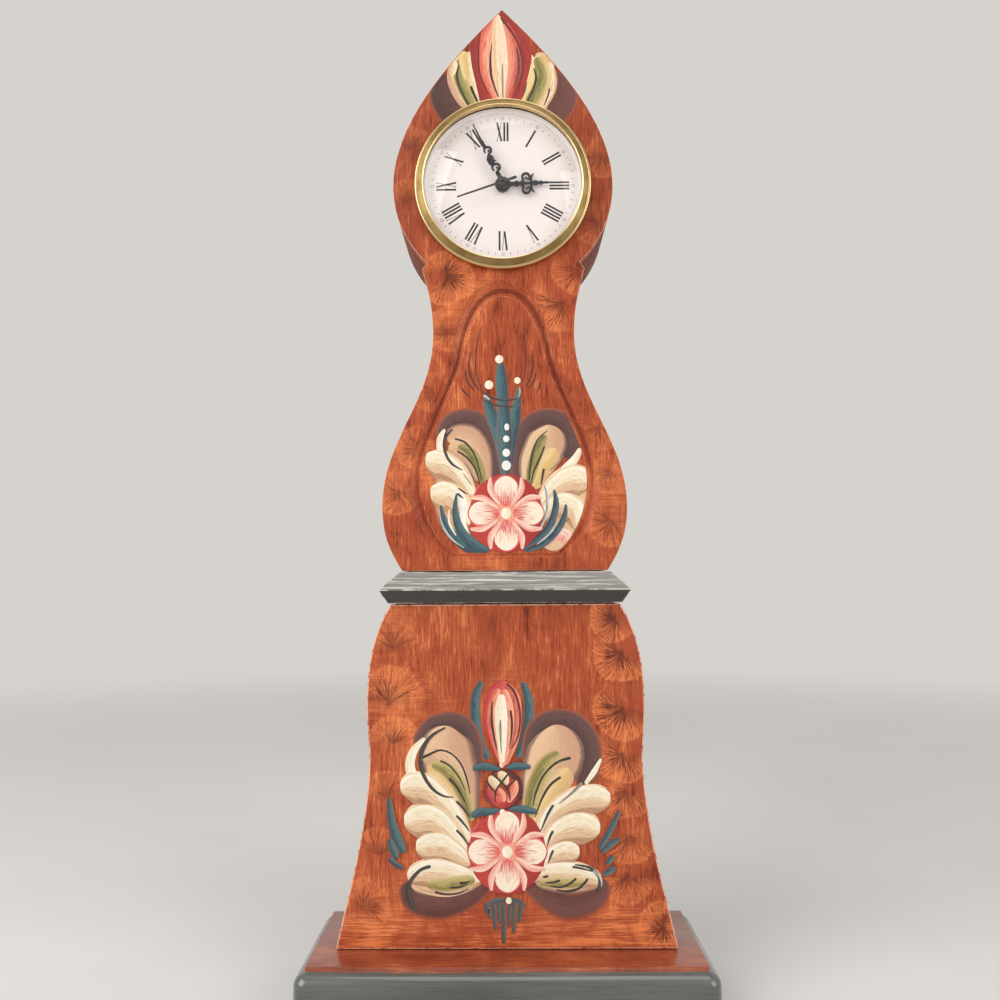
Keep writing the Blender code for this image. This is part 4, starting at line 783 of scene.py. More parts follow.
def stroke(paint, *points):
    """Lays one stroke of a paint through points (x, z, width) in mm, inside the motif's edge, if any."""
    first, second, way = paints[paint] if isinstance(paint, str) else paint
    line, halves = brush_line(points, film_columns)
    runs = line_runs(line)
    level = film_step * (len(strokes) + 1)

    def place(column, row):
        offset = across_stroke(line, column) * halves[column] * (2 * film_rows[row] - 1)
        x, z = (line[column].xy + offset) * MM
        if motif_edge:
            x, z = motif_edge(x, z)
        rim = column in (0, film_columns) or row in (0, len(film_rows) - 1)
        return (x, case_front + (film_root if rim else -level), z)

    film, spots = lay_grid(film_columns, len(film_rows) - 1, place)
    for name, tint in (("first_paint", first), ("second_paint", second)):
        layer = film.data.color_attributes.new(name, "FLOAT_COLOR", "POINT")
        layer.data.foreach_set("color", colour(*tint) * len(spots))
    load = film.data.attributes.new("load", "FLOAT", "POINT")
    for value, (column, row) in zip(load.data, spots):
        value.value = min(1.1 * runs[column] / runs[-1], 1) if way == "along" else film_rows[row]
    for loop, corner in zip(film.data.loops, film.data.uv_layers.active.data):
        column, row = spots[loop.vertex_index]
        corner.uv = (runs[column] + film_shift * len(strokes), film_rows[row] * 2 * max(halves))
    strokes.append(film)


def soft_stroke(paint, *points, melt=1.6, over=wood_tone):
    """A stroke whose edge melts into what lies under it: wider passes in between tones, then the paint."""
    first, second, way = paints[paint]
    for share, wider in ((0.25, melt), (0.5, melt * 0.66), (0.75, melt * 0.33)):
        tones = [tuple(w + (t - w) * share for w, t in zip(over, tint)) for tint in (first, second)]
        stroke((*tones, way), *[(x, z, width + wider) for x, z, width in points])
    stroke(paint, *points)


def shell(paint, *points):
    """A shell of cream: a wide dab, and paler passes of the brush towards its upper edge."""
    stroke(paint, *points)
    for pale, rise, share in (("pale_shell", 0.06, 0.72), ("cream", 0.24, 0.4), ("cream", 0.34, 0.2)):
        stroke(pale, *[(x, z + width * rise, width * share) for x, z, width in points])


def dot(paint, x, z, radius, tall=1.0):
    """A round dab of paint."""
    stroke(paint, (x, z - radius * tall, 2 * radius), (x, z + radius * tall, 2 * radius))


def joined(pieces):
    """Joins pieces into the first of them."""
    clear_bench()
    for piece in pieces:
        piece.select_set(True)
    bpy.context.view_layer.objects.active = pieces[0]
    bpy.ops.object.join()
    return bpy.context.object


def finish_motif(name):
    """Joins the strokes of one motif into a piece."""
    motif = joined(strokes)
    bpy.ops.object.shade_smooth_by_angle(angle=film_smooth)
    oil_paint.dress(motif)
    seat(motif, name, "case", "paint")
    strokes.clear()


oil_paint = Finish("two_colour_oil_paint", Coat_Weight=0.15, Coat_Roughness=0.2)
brush_place = oil_paint.node("UVMap", uv_map="UVMap")
bristle = oil_paint.noise(2.4, (0.09, 1, 1), detail=3, rough=0.6, place=brush_place)
first_paint = oil_paint.node("Attribute", output="Color", attribute_name="first_paint")
second_paint = oil_paint.node("Attribute", output="Color", attribute_name="second_paint")
paint_load = oil_paint.node("Attribute", output="Fac", attribute_name="load")
streaked = oil_paint.sum("ADD", paint_load, oil_paint.fade(bristle, 0.25, 0.75, -0.34, 0.34))
paint_mix = oil_paint.mix(oil_paint.fade(streaked, 0.15, 0.8), first_paint, second_paint)
thin_share = oil_paint.fade(bristle, 0.3, 0.5, 0.26, 0.0)
oil_paint.shade("Base Color", oil_paint.mix(thin_share, paint_mix, colour(120, 80, 60), "MULTIPLY"))
oil_paint.rough(bristle, 0.36, 0.52)
oil_paint.bump(bristle, 0.05 * MM)


def side_reach(side, z):
    """The half width of an outline at a height, from the points of its right side."""
    for below, above in zip(side, side[1:]):
        if below.z <= z <= above.z and above.z > below.z:
            return below.x + (above.x - below.x) * (z - below.z) / (above.z - below.z)
    return 0.0


def inside_head(x, z):
    """Keeps a point on the hood's front face, between its outline and the bore."""
    spot = Vector((x, z - dial_z))
    spot *= max((bore_radius + bore_margin) / spot.length, 1)
    z = min(spot.y + dial_z, hood_high.z - top_margin)
    reach = max(side_reach(head_side, z) - arris, 0)
    return min(max(spot.x, -reach), reach), z


def inside_door(x, z):
    """Keeps a point on the door."""
    z = max(z, door_foot[1] + door_foot_margin)
    reach = max(side_reach(door_side[1:], z) - door_side_margin, 0)
    return min(max(x, -reach), reach), z


def flower(x, z, radius):
    """The red rose with its four white petals and the pink curls between them."""
    def spread(paint, turn, *points):
        """One stroke of (reach, lean, width) about a direction in degrees, as shares of the radius."""
        laid = []
        for reach, lean, width in points:
            spot = Matrix.Rotation(math.radians(turn) + lean, 2) @ Vector((reach * radius, 0))
            laid.append((x + spot.x, z + spot.y, width * radius))
        stroke(paint, *laid)

    dot("red", x, z, radius)
    for turn in (0, 90, 180, 270):
        spread("rose", turn, (0.05, 0, 0.5), (0.4, 0, 0.68), (0.7, 0, 0.76), (0.98, 0, 0.64))
    for turn in (0, 90, 180, 270):
        spread("petal", turn, (0.06, 0, 0.34), (0.35, 0, 0.52), (0.68, 0, 0.64), (0.95, 0, 0.56))
    for turn in (45, 135, 225, 315):
        for side in (-1, 1):
            spread("curl", turn, (0.22, 0.2 * side, 0.06), (0.46, 0.17 * side, 0.14),
                   (0.74, 0.22 * side, 0.17), (1.0, 0.38 * side, 0.07))
    for turn in (45, 135):
        spread("glow", turn, (-0.34, 0, 0.04), (0, 0, 0.32), (0.34, 0, 0.04))
    dot("cream", x, z, 2.5)


# Hood motif: a tulip in the point above the dial, between two leaves with dark veins. The leaves are laid
# over a dull plum shade that melts into the wood, and the tulip's petals go on last.
motif_edge = inside_head
soft_stroke("dark_plum", (-27, 412, 6), (-28.5, 405, 9), (-26, 397, 11), (-20, 388, 11), melt=3)
soft_stroke("plum_red", (26, 412, 6), (29.5, 404, 9), (27.5, 397, 11), (21, 388, 11), melt=3)
stroke("peach", (-23, 417, 4), (-23.4, 409, 4.5), (-20, 401, 5), (-15, 395, 5))
stroke("ochre", (-17, 423, 8), (-19.5, 414, 10), (-16, 405, 10), (-11, 394, 10))
stroke("leaf", (-18, 420, 4), (-19.5, 413, 7), (-17, 405, 7.6), (-12.5, 396, 7))
stroke("sand", (-22.8, 418.5, 3.6), (-22.5, 415, 3.8), (-23.5, 411, 2))
stroke("sand", (-15, 423, 3.8), (-15.5, 414, 4.6), (-13.5, 406, 3.5), (-10, 396, 3.5))
stroke("ochre", (-18.5, 421, 3.4), (-17.5, 415, 4.4), (-16.5, 409, 2))
stroke("olive", (-20, 417, 1), (-19.8, 411, 2.8), (-17.5, 404, 3.4), (-13.5, 396, 3.6))
stroke("dark", (-20.4, 416, 0.5), (-21, 411, 1), (-19.6, 405, 1), (-15.5, 396.5, 0.9))
stroke("dark", (-14.6, 406, 1.3), (-13.3, 402.5, 1.4), (-10.5, 396, 1))
stroke("sand", (13.5, 421, 3), (12.3, 412, 3.4), (9.5, 404, 3.2), (7, 397, 3))
stroke("peach", (15.5, 421, 3), (20, 419, 5), (23.5, 414, 3))
stroke("ochre", (17, 421, 8), (18.5, 413, 11), (16, 405, 13), (11, 394, 13))
stroke("leaf", (16.5, 420, 4), (18, 412, 6), (17, 405, 6.4), (12.5, 396, 7))
stroke("olive", (16.6, 419, 1.4), (18.8, 412, 3.6), (17.4, 405, 4), (13, 397, 4))
stroke("sand", (21.5, 417, 3), (23.2, 410, 4.6), (22, 403, 4.8), (17, 393.5, 5))
stroke("blush", (24.2, 414, 1.2), (24.9, 408, 1.6), (23.8, 402, 1.4), (19.5, 394.5, 1))
stroke("dark", (14.7, 414.5, 0.5), (15.7, 410, 1.1), (14.7, 405, 1), (11.5, 398, 0.8))
stroke("dark", (11.2, 408, 0.8), (10.5, 404, 0.9), (8.8, 399.5, 0.6))
stroke("dark", (21.9, 404.5, 0.8), (21.2, 401, 0.8), (19.2, 396, 0.5))
stroke("plum_red", (25.2, 413, 0.5), (26, 408, 0.9), (24.8, 402, 0.9), (21, 395, 0.7))
stroke("crimson", (-4, 441, 5), (-11, 429, 7), (-12, 418, 5), (-10, 408, 5), (-7, 396, 6))
stroke("crimson", (1, 442.5, 4), (7.5, 433, 7), (10.5, 421, 7), (8.5, 408, 6), (5, 396, 6))
stroke("salmon", (-2.5, 442, 3), (-7.2, 430, 6.4), (-8.2, 416, 6), (-4, 402, 5.4), (-2, 396, 4))
stroke("maroon", (-9.8, 432.5, 0.4), (-10.9, 424, 0.8), (-10.3, 412, 0.8), (-6, 401.5, 0.6),
       (-4.6, 399, 0.5))
stroke("coral", (1.5, 437, 3), (5, 427, 6.5), (6, 415, 7), (3, 402, 4), (2.4, 396, 3))
stroke("pink_cream", (-2.4, 441, 3), (-1.4, 430, 6.6), (-1, 416, 8), (-0.6, 404, 4.4), (-0.6, 396, 3.6))
stroke("sand", (-2.8, 439, 1), (-2.8, 430, 2), (-2.6, 417, 2.4), (-1.4, 404, 1.4), (-1, 397, 1))
stroke("plum_red", (6.8, 425, 0.6), (7.8, 418, 1.4), (7.5, 412, 1.3), (5.6, 405, 0.6))
stroke("maroon", (-0.6, 439.5, 1), (3, 434.6, 1.2), (7.2, 427.5, 1), (9.4, 419, 0.9), (9.2, 411, 0.8),
       (6.6, 401, 0.5))
stroke("dark", (-4.7, 427, 0.3), (-5.5, 419, 1), (-4.9, 410, 1.1), (-1.8, 400.5, 0.6))
stroke("grey", (0.2, 416.8, 0.5), (0.2, 410, 0.9), (0.3, 400, 0.7))
finish_motif("hood_flower")

# Door motif: a rose with shells of cream to each side, leaves above, and a stem that ends in three blades.
# Fine dark hairs and the plum shade are laid first, then leaves and shells, and the rose on top.
motif_edge = inside_door
stroke("hair", (-9.6, 292, 0.3), (-11.6, 286, 0.5), (-12.6, 277, 0.6), (-12, 268.5, 0.6),
       (-9, 261.5, 0.4))
stroke("hair", (-15, 280, 0.5), (-15.6, 273, 1), (-13.8, 266.5, 0.9), (-10.5, 262, 0.4))
stroke("hair", (-17.2, 272, 0.4), (-16.6, 267, 0.9), (-13, 262.3, 0.5))
stroke("hair", (-19, 263.6, 1), (-17.2, 261.2, 0.9), (-15, 259.4, 0.4))
stroke("hair", (8.8, 288, 0.3), (9.9, 280, 0.6), (9.7, 272, 0.6), (8, 266, 0.4))
stroke("hair", (12.7, 279, 0.4), (13, 273, 0.8), (11.8, 267.5, 0.8), (10, 264.8, 0.4))
stroke("hair", (14.6, 271, 0.5), (13.6, 267, 0.9), (11.4, 263.4, 0.4))
stroke("hair", (16.6, 266, 0.8), (15.6, 263.2, 0.8), (14.4, 261.2, 0.4))
soft_stroke("plum", (-28, 240, 4), (-25, 247, 6), (-19.5, 249.5, 7), (-13, 248.5, 8), (-8, 243, 8),
            (-5.5, 235, 7), (-4, 226, 6), (-3.5, 219, 4), melt=3)
soft_stroke("plum", (7, 219, 4), (6.5, 232, 6), (8.5, 242, 6.5), (13.5, 248.5, 6.5), (21.5, 250, 6.5),
            (27, 246, 9), (29.6, 239, 11), (30, 231, 10), melt=3)
soft_stroke("teal", (0.5, 222, 3), (-0.5, 240, 8), (-5.5, 251, 5.4), (-8, 259.5, 3), melt=0.8)
soft_stroke("teal", (2, 226, 2), (3.4, 240, 4.6), (5, 251, 4.8), (6.8, 263.5, 1.2), melt=0.8)
soft_stroke("teal", (1, 222, 2), (0.2, 240, 6.6), (-0.4, 256, 5.2), (-1.2, 268, 5), (-1.5, 276, 1.6),
            melt=0.8)
stroke("mist", (-9.3, 260.2, 1), (-8, 259.3, 1.6), (-6.4, 258.2, 0.8))
stroke("mist", (7, 264, 0.5), (7, 261.5, 0.9), (6.4, 259, 0.4))
stroke("outline", (-9.8, 262, 0.5), (-5, 259, 0.9), (0, 258, 1), (6, 258.6, 0.6))
stroke("outline", (-9, 258, 0.6), (-4, 256, 1), (1, 255, 0.9), (5, 255.2, 0.4))
dot("cream", -2, 276.7, 1.9)
dot("cream", -6.7, 265, 2)
dot("cream", 6.1, 266.9, 1.5)
dot("white", 1.2, 245.8, 1.1, 1.4)
dot("white", 0.9, 240.5, 1.5)
dot("white", 0.9, 234.2, 1.8)
dot("white", 0.9, 228.5, 2.2)
soft_stroke("blush", (-25, 239.5, 6), (-21, 242, 8.5), (-15.5, 240.5, 11), (-11, 234, 9),
            (-9, 226.5, 6), (-8, 219, 3), melt=2.4, over=plum_tone)
stroke("peach", (-25, 236, 5), (-19.5, 235.5, 9), (-14, 230, 8), (-10, 221.5, 4))
soft_stroke("olive", (-20.5, 237.5, 1.5), (-15.5, 235, 3.4), (-11.4, 228.5, 3.8), (-9, 220, 2),
            melt=1.6, over=(208, 168, 120))
stroke("dark", (-22.2, 240.7, 0.9), (-17, 238.6, 1), (-12.6, 232, 0.7), (-10, 222, 0.4))
stroke("dark", (-21, 235.2, 0.9), (-16.5, 232, 1), (-13, 227, 0.8), (-10.8, 220, 0.5))
soft_stroke("blush", (20.6, 246.6, 12), (20, 242, 15), (18, 236.6, 16.6), (13.5, 229, 13),
            (10, 219, 4), melt=2.4, over=plum_tone)
soft_stroke("ochre", (23, 236, 3), (20, 231.5, 5), (15.5, 225, 4.6), (12.5, 218, 2), melt=4.4,
            over=(212, 170, 140))
soft_stroke("olive", (18.5, 242, 1.6), (15, 235, 4), (12.5, 227, 3.8), (11, 219.5, 1.8), melt=1.6,
            over=(212, 172, 128))
stroke("dark", (19.3, 244, 0.4), (15, 240, 0.8), (12.3, 233, 0.9), (11, 222, 0.6))
stroke("dark", (18, 237, 0.8), (15.5, 231, 1), (13, 225.5, 0.8), (11.8, 220, 0.5))
soft_stroke("peach", (-26, 226, 8), (-25, 214, 12), (-22.4, 204, 11), (-18, 196, 6), melt=2)
soft_stroke("peach", (31, 229, 9), (31.5, 218, 17), (29.5, 207, 19), (24.5, 198, 14), (17, 192.5, 6),
            melt=2)
stroke("cream", (-26.5, 245, 1.2), (-28.6, 240.5, 3), (-28.4, 234, 3.4))
shell("shell", (-35, 228.6, 12), (-31, 229.2, 14), (-25.5, 228, 13), (-19.5, 223, 10), (-14, 214.5, 5))
shell("butter", (-32.5, 213.5, 12), (-28.5, 214.6, 15), (-23.5, 214, 14), (-18.5, 209, 11), (-16, 202, 5))
stroke("white", (-20, 218, 1.4), (-18.2, 211, 3), (-18.4, 203, 2.6), (-15.5, 197, 1.4))
stroke("outline", (-23, 245, 0.6), (-26.4, 240.8, 1.4), (-26.4, 235, 1.4), (-23.5, 229.6, 1.2),
       (-18.5, 226.4, 0.5))
stroke("grey", (-17.6, 230, 0.5), (-15, 226, 0.6), (-12.6, 221, 0.3))
stroke("grey", (-18.2, 225, 0.4), (-16.4, 222.4, 0.6), (-14.6, 219.6, 0.3))
stroke("dark", (-20.6, 218.4, 0.6), (-18.4, 217, 0.8), (-16.4, 215.6, 0.4))
stroke("dark", (-21, 216.2, 0.9), (-19.6, 215, 1), (-18.2, 213.8, 0.4))
stroke("cream", (22, 222.5, 2), (27, 227, 3.4), (31.3, 231, 3.6), (34, 236, 2))
shell("shell", (14, 208, 4), (18, 213.5, 7.5), (22.5, 218, 11.5), (28, 221, 14.5), (34, 221, 15),
      (38.5, 219, 12))
shell("shell", (16, 204.5, 5), (21.5, 209.6, 10), (27.5, 210, 13.5), (32.5, 206, 13), (33, 199, 8))
stroke("curl", (17, 193, 3), (22.5, 197.5, 5), (27, 197, 6), (28, 191.5, 4))
stroke("mist", (17.8, 219.5, 0.6), (19, 214, 1.4), (18.6, 207, 1.4), (15.5, 200, 0.8))
stroke("dark", (17.6, 227, 1), (17, 224, 1), (16.2, 219.6, 0.5))
stroke("grey", (26, 233, 0.9), (24, 229.5, 0.8), (20.4, 226.4, 0.4))
stroke("teal", (-28.2, 211, 1), (-26.4, 204, 2.8), (-22, 197, 4), (-16, 192.4, 5), (-8, 190.3, 2.4))
stroke("mist", (-28.8, 206, 0.6), (-26.6, 200, 1.2), (-22.5, 195, 1), (-18, 192, 0.4))
stroke("teal", (-21.2, 216, 0.8), (-21.8, 208, 3), (-19.6, 200, 4.2), (-14, 193.6, 5), (-7, 190.6, 2.4))
stroke("cream", (-24.6, 209, 0.6), (-24.4, 203, 1.1), (-21.5, 197.4, 0.5))
stroke("slate", (22, 217.6, 1), (22.8, 211, 3), (20.6, 203, 3.2), (16, 197, 2.8), (8, 191.4, 1.4))
stroke("slate", (27.2, 211, 1), (26.4, 205.5, 2.6), (23, 199, 3), (17, 193.4, 2.8), (9, 190.3, 1.4))
stroke("mist", (23.4, 204, 0.5), (19.6, 198, 1.1), (14, 193.4, 0.6))
flower(0.7, 207.2, 17.4)
finish_motif("door_flower")

# Trunk motif: a tulip over a bud and a rose, with leaves and shells of cream to each side. The plum shade
# is laid first here too, then leaves and shells, and the flowers on top.
motif_edge = None
soft_stroke("teal", (-10.4, 134, 1.4), (-13, 127, 3), (-13, 117, 3.4), (-11, 107, 3), (-7.5, 101, 2),
            melt=2)
soft_stroke("teal", (7.4, 133.6, 1.2), (9.7, 127, 3), (10, 118, 3.4), (8, 109, 3), (5, 101.5, 2.4),
            melt=2)
soft_stroke("plum", (-38, 106, 4), (-36, 110, 5), (-32, 115, 6), (-24.5, 117.2, 6), (-18.5, 115.5, 6),
            (-15, 109.5, 6), (-13.5, 101, 5.5), (-13.8, 91, 4), melt=3)
soft_stroke("plum", (10, 97, 3.5), (10.5, 107, 4.5), (13, 113.5, 5.5), (18.5, 117.4, 6.4),
            (26, 117.6, 6.6), (32.5, 114, 7.2), (36.5, 106, 7.2), (36, 97, 6.5), (32, 89, 5), melt=3)
soft_stroke("plum_red", (-42.5, 50, 4), (-40, 43, 8), (-31, 40, 9), (-22.5, 41.5, 9), (-15, 45, 8),
            (-8, 50, 5), melt=3)
soft_stroke("plum_red", (41, 51, 4), (39, 45, 7), (33, 40.6, 8.4), (25, 40, 9), (17.5, 43.5, 8.4),
            (9, 50, 5), melt=3)
soft_stroke("drip", (-9.6, 39.4, 1), (-5.4, 41.6, 2), (-0.6, 42.6, 1), melt=1.4)
soft_stroke("drip", (7.8, 39.6, 1), (4.4, 41.6, 2), (-0.4, 42.6, 1), melt=1.4)
tassels = [(-8.8, 34.6, 1.7), (-5.9, 30, 1.4), (-3.8, 33, 1), (-1.6, 24.5, 1.6), (1.2, 31.6, 1.2),
           (3.4, 28.8, 1.2), (6.4, 33, 1.8)]
for x, low, width in tassels:
    soft_stroke("drip", (x, 41.4, width), (x * 0.92, 38, width), (x * 0.86, low + 3, width * 0.8),
                (x * 0.8, low, 0.5), melt=0.9)
soft_stroke("blush", (-25, 115, 15), (-25.8, 110, 18.5), (-25.2, 102, 20.5), (-20.4, 92, 15.5),
            (-16.6, 82, 7), (-15, 76, 3), melt=4, over=plum_tone)
stroke("peach", (-36, 101, 6), (-30, 102, 11), (-24.5, 97, 12), (-20, 89, 9), (-16, 78, 3))
soft_stroke("ochre", (-34, 95, 4), (-30, 95.5, 6), (-25, 90, 6), (-19.5, 82.5, 4), (-16, 75, 1.5),
            melt=4, over=(216, 174, 140))
soft_stroke("leaf", (-32, 99, 2), (-26, 97, 4.6), (-20.6, 91, 5), (-17, 83, 4), (-15, 75, 1.6),
            melt=2.4, over=(222, 184, 140))
stroke("olive", (-24, 94.6, 1), (-19.6, 89, 2.4), (-16.6, 82, 2.4), (-15, 76, 1.2))
stroke("dark", (-36.6, 101.4, 1.4), (-33, 103, 1.2), (-28.5, 104.8, 0.9), (-23.5, 103.3, 0.8),
       (-19.5, 99, 0.8), (-17, 93, 0.8), (-15.4, 86, 0.4))
stroke("outline", (-28.4, 100.4, 1), (-24, 98, 0.9), (-20, 93, 0.8), (-17.6, 88, 0.4))
stroke("dark", (-24.6, 93, 1.3), (-21, 89, 1.1), (-17.6, 83, 0.5))
soft_stroke("blush", (21.8, 115.4, 15), (22, 110, 18.5), (21.2, 102, 23), (16.2, 92, 18), (12, 81, 9),
            (9.5, 74, 4), melt=3, over=plum_tone)
soft_stroke("ochre", (27, 97, 3), (24.5, 93, 5), (20, 87.5, 5), (15.5, 80, 4), (12, 73, 2), melt=5,
            over=(212, 170, 140))
soft_stroke("leaf", (23, 103.6, 2), (17.5, 98.6, 5.4), (13.4, 91, 6), (10.8, 83, 5), (9.2, 75, 2.4),
            melt=3, over=(226, 188, 144))
stroke("olive", (16.4, 97, 1), (13, 91, 2.6), (10.6, 83, 2.6), (9.2, 76, 1.2))
stroke("dark", (28, 101.4, 1.4), (22, 99.5, 1.1), (16.5, 94.5, 1), (13, 87.5, 0.9), (11.4, 81, 0.4))
stroke("dark", (23.6, 93.4, 1.2), (19, 90, 1.2), (15.2, 84, 1), (12.4, 76.5, 0.4))
soft_stroke("blush", (-41, 49.6, 4.5), (-35, 49.4, 8), (-27, 48.8, 8.6), (-19, 49.4, 7.6),
            (-12, 51, 4.5), melt=2.4, over=plum_tone)
soft_stroke("blush", (40, 50, 3.6), (35, 50, 6.4), (27, 49.4, 7.4), (19, 50, 6.4), (12, 51, 4),
            melt=2.4, over=plum_tone)
stroke("cream", (-35, 110, 1.4), (-39.8, 104.5, 3.6), (-41.4, 98, 4.4), (-39, 91.5, 4.4))
stroke("outline", (33, 90, 0.8), (37.4, 95.2, 2.8), (41, 101, 1.4))
stroke("cream", (34, 90.4, 1.6), (37.8, 95.4, 2.6), (41, 101, 1.2))
shell("shell", (-45, 87, 10.5), (-41, 88.6, 14), (-35, 88.4, 14), (-28.5, 84, 12), (-22, 77, 9.5),
      (-15.5, 66, 3.5))
shell("shell", (-43.5, 73, 10.5), (-38.5, 74.6, 15), (-32, 75, 14.5), (-25.5, 71.4, 12), (-17.5, 62, 4.5))
shell("shell", (-38.5, 62.6, 9.5), (-33.5, 64, 13), (-27.5, 64, 13), (-22, 61.5, 10.5), (-15, 57, 6))
shell("shell", (-42, 51, 7), (-37.5, 53, 10.5), (-31, 53.6, 13), (-24, 52.6, 12.5), (-16.5, 51, 9.5),
      (-10, 52, 6))
stroke("cream", (-39.5, 53.4, 1.6), (-33, 57, 3.4), (-26, 56.6, 3.6), (-19, 54.6, 3.6), (-11, 50.6, 3))
soft_stroke("leaf", (-34, 49, 2), (-27, 48.6, 4), (-20, 49.6, 4), (-13.5, 51, 2), melt=2.6,
            over=(226, 198, 156))
stroke("blush", (-40, 49, 0.5), (-34.6, 46, 1.6), (-26, 44.6, 1.8), (-19, 45.8, 1.4), (-13.5, 48.6, 0.5))
stroke("outline", (-26, 114.4, 0.7), (-33, 110, 1.6), (-36.8, 102, 1.9), (-35.6, 94.6, 1.7),
       (-31.6, 88.6, 1.4), (-27, 85.6, 1), (-22.6, 85, 0.4))
stroke("outline", (-32.2, 56.4, 1.6), (-36.5, 55, 1.5), (-40.4, 51, 1.8), (-41.9, 46, 2.1),
       (-40.6, 41, 1.9), (-38.4, 38.4, 0.8))
stroke("dark", (-20.2, 49.5, 1.3), (-17.6, 49.6, 1.1), (-15.4, 50.5, 0.3))
stroke("dark", (-24.2, 47.6, 0.9), (-20, 47.8, 0.9), (-16.6, 49, 0.3))
stroke("dark", (-30.6, 45.9, 1.1), (-26, 44.9, 0.9), (-20.5, 45.3, 0.8), (-16, 47.2, 0.3))
for x, z in ((-21.4, 83.4), (-21.4, 77.4), (-21.4, 71.4)):
    stroke("outline", (x, z, 1.1), (x + 2.6, z - 2.6, 1.1), (x + 5.6, z - 6.6, 0.4))
shell("shell", (13, 66, 3.5), (17.5, 75.5, 8), (24, 80.8, 10.5), (31.5, 83.6, 12.5), (39, 84, 12.5),
      (44.5, 82.4, 9.5))
shell("shell", (15, 61, 4.5), (18.5, 67, 8), (23, 70.4, 11.5), (29, 72, 14), (35, 71.6, 14),
      (39.5, 69.4, 10.5))
shell("shell", (15, 55, 4.5), (18.5, 59.6, 8), (22.5, 61.4, 10), (27, 61.8, 10.5), (31, 60.6, 8))
shell("shell", (10, 51, 4.5), (16, 53, 7.5), (23.5, 53, 11), (31, 52.4, 11), (37, 51, 8), (40, 49.6, 6))
stroke("cream", (11, 51.6, 2.6), (16, 55, 3), (22.5, 56.4, 3.2), (30, 55.6, 2.8), (36.6, 53.2, 1.8))
soft_stroke("leaf", (14, 49.4, 1.5), (20, 49.4, 3), (27, 49.2, 3), (34, 49.6, 1), melt=2,
            over=(222, 194, 152))
stroke("grey", (32.6, 91, 1.6), (28.6, 87, 1.2), (22.6, 82.2, 0.4))
stroke("outline", (20.2, 81.8, 1.2), (17.6, 77.4, 1.2), (14.8, 71, 0.5))
stroke("outline", (20, 71, 1.2), (18.6, 68.4, 1.1), (17.4, 64.6, 0.4))
stroke("outline", (20, 63, 1.1), (18.8, 60.4, 1), (17.8, 57.6, 0.4))
stroke("dark", (28, 56.1, 1.1), (32, 55.4, 0.9), (36.6, 54.2, 0.5))
stroke("dark", (15.4, 51.8, 0.9), (17.8, 52.3, 1.2))
stroke("dark", (16.4, 49.5, 0.5), (20, 49.8, 1), (22.8, 50.6, 1))
stroke("dark", (18, 48.2, 0.4), (23, 47.8, 0.9), (27, 49.3, 1), (29.6, 51.4, 1.1))
stroke("dark", (21, 46.6, 0.4), (26, 46, 1), (31, 47.5, 1.1), (34.6, 51.2, 1.1))
stroke("outline", (29, 57, 0.6), (35.5, 55.6, 1.2), (39.4, 51.5, 1.5), (39, 45.5, 1))
stroke("mist", (36.8, 54.6, 0.6), (39.9, 51.4, 1.1), (40.3, 47.8, 0.5))
soft_stroke("teal", (-50.4, 85, 1), (-49, 75, 2.6), (-46.4, 67, 4), (-43.8, 62, 2.6), melt=1.6)
soft_stroke("teal", (-50, 68, 1.2), (-48.6, 63.6, 2.6), (-46.6, 59.6, 1.6), melt=1.6)
soft_stroke("slate", (-50.2, 60, 1), (-47.6, 57.6, 1.8), (-44, 55.6, 1), melt=1.2)
soft_stroke("teal", (48.4, 79.2, 0.8), (44.7, 71.8, 2), (39.8, 63.6, 1.6), melt=1.2)
soft_stroke("teal", (48, 67.6, 1.4), (44, 65.2, 2.2), (40.6, 61.8, 1.2), melt=1.2)
soft_stroke("teal", (45.6, 60.4, 1.4), (44, 58.8, 2), (42.6, 57, 1), melt=1)
soft_stroke("teal", (46.2, 56, 1.6), (43.6, 54.2, 2.2), (41, 52.6, 1), melt=1)
flower(0.4, 62.4, 17.5)
stroke("teal", (-15, 77.2, 2.4), (-11, 78.8, 3.6), (-6, 79, 2.8), (-2.6, 80.2, 1))
stroke("teal", (1, 80, 1), (6.5, 80, 3.4), (13.4, 78.8, 2))
dot("bud", -1.2, 88.2, 8.7, 0.95)
dot("red", -1.3, 87.4, 6.8)
stroke("rose", (-7.2, 90, 3), (-5.6, 86.4, 4.6), (-2.8, 82.4, 2.6))
stroke("salmon", (3.4, 92.4, 2.8), (3.4, 88, 4), (0.6, 83, 2.4))
stroke("sand", (-7.4, 93.6, 3), (-5, 91.4, 4.6), (-3.4, 88.4, 2))
stroke("sand", (-3.4, 95.4, 3), (-0.8, 93.2, 4.4), (0.2, 90.2, 2))
stroke("salmon", (-3.4, 88.6, 2), (-1.8, 86, 3.6), (-1, 83, 2))
stroke("dark", (-6.4, 95, 0.8), (-2.4, 91.8, 1), (1, 87.6, 1), (1.8, 83.4, 0.5))
stroke("dark", (1.4, 95.4, 0.8), (-1.6, 91.6, 1), (-4.6, 87.2, 0.9), (-4.4, 83, 0.4))
stroke("dark", (5, 93.6, 0.7), (2.2, 90.6, 0.8), (-0.6, 88, 0.4))
stroke("dark", (-8.6, 92.4, 0.7), (-6.4, 89, 0.9), (-3.4, 85.6, 0.4))
stroke("teal", (-14.4, 96.8, 1.8), (-10, 98, 3.2), (-5.4, 97.2, 2.8), (-2.6, 96.6, 1))
stroke("teal", (0, 97.2, 1), (4.6, 98, 3.4), (10.6, 97.6, 1.8))
stroke("rose", (-1.4, 134.2, 7), (-1.6, 128, 13.5), (-1.6, 118.5, 16.6), (-1.5, 107.5, 11), (-1.4, 98, 2))
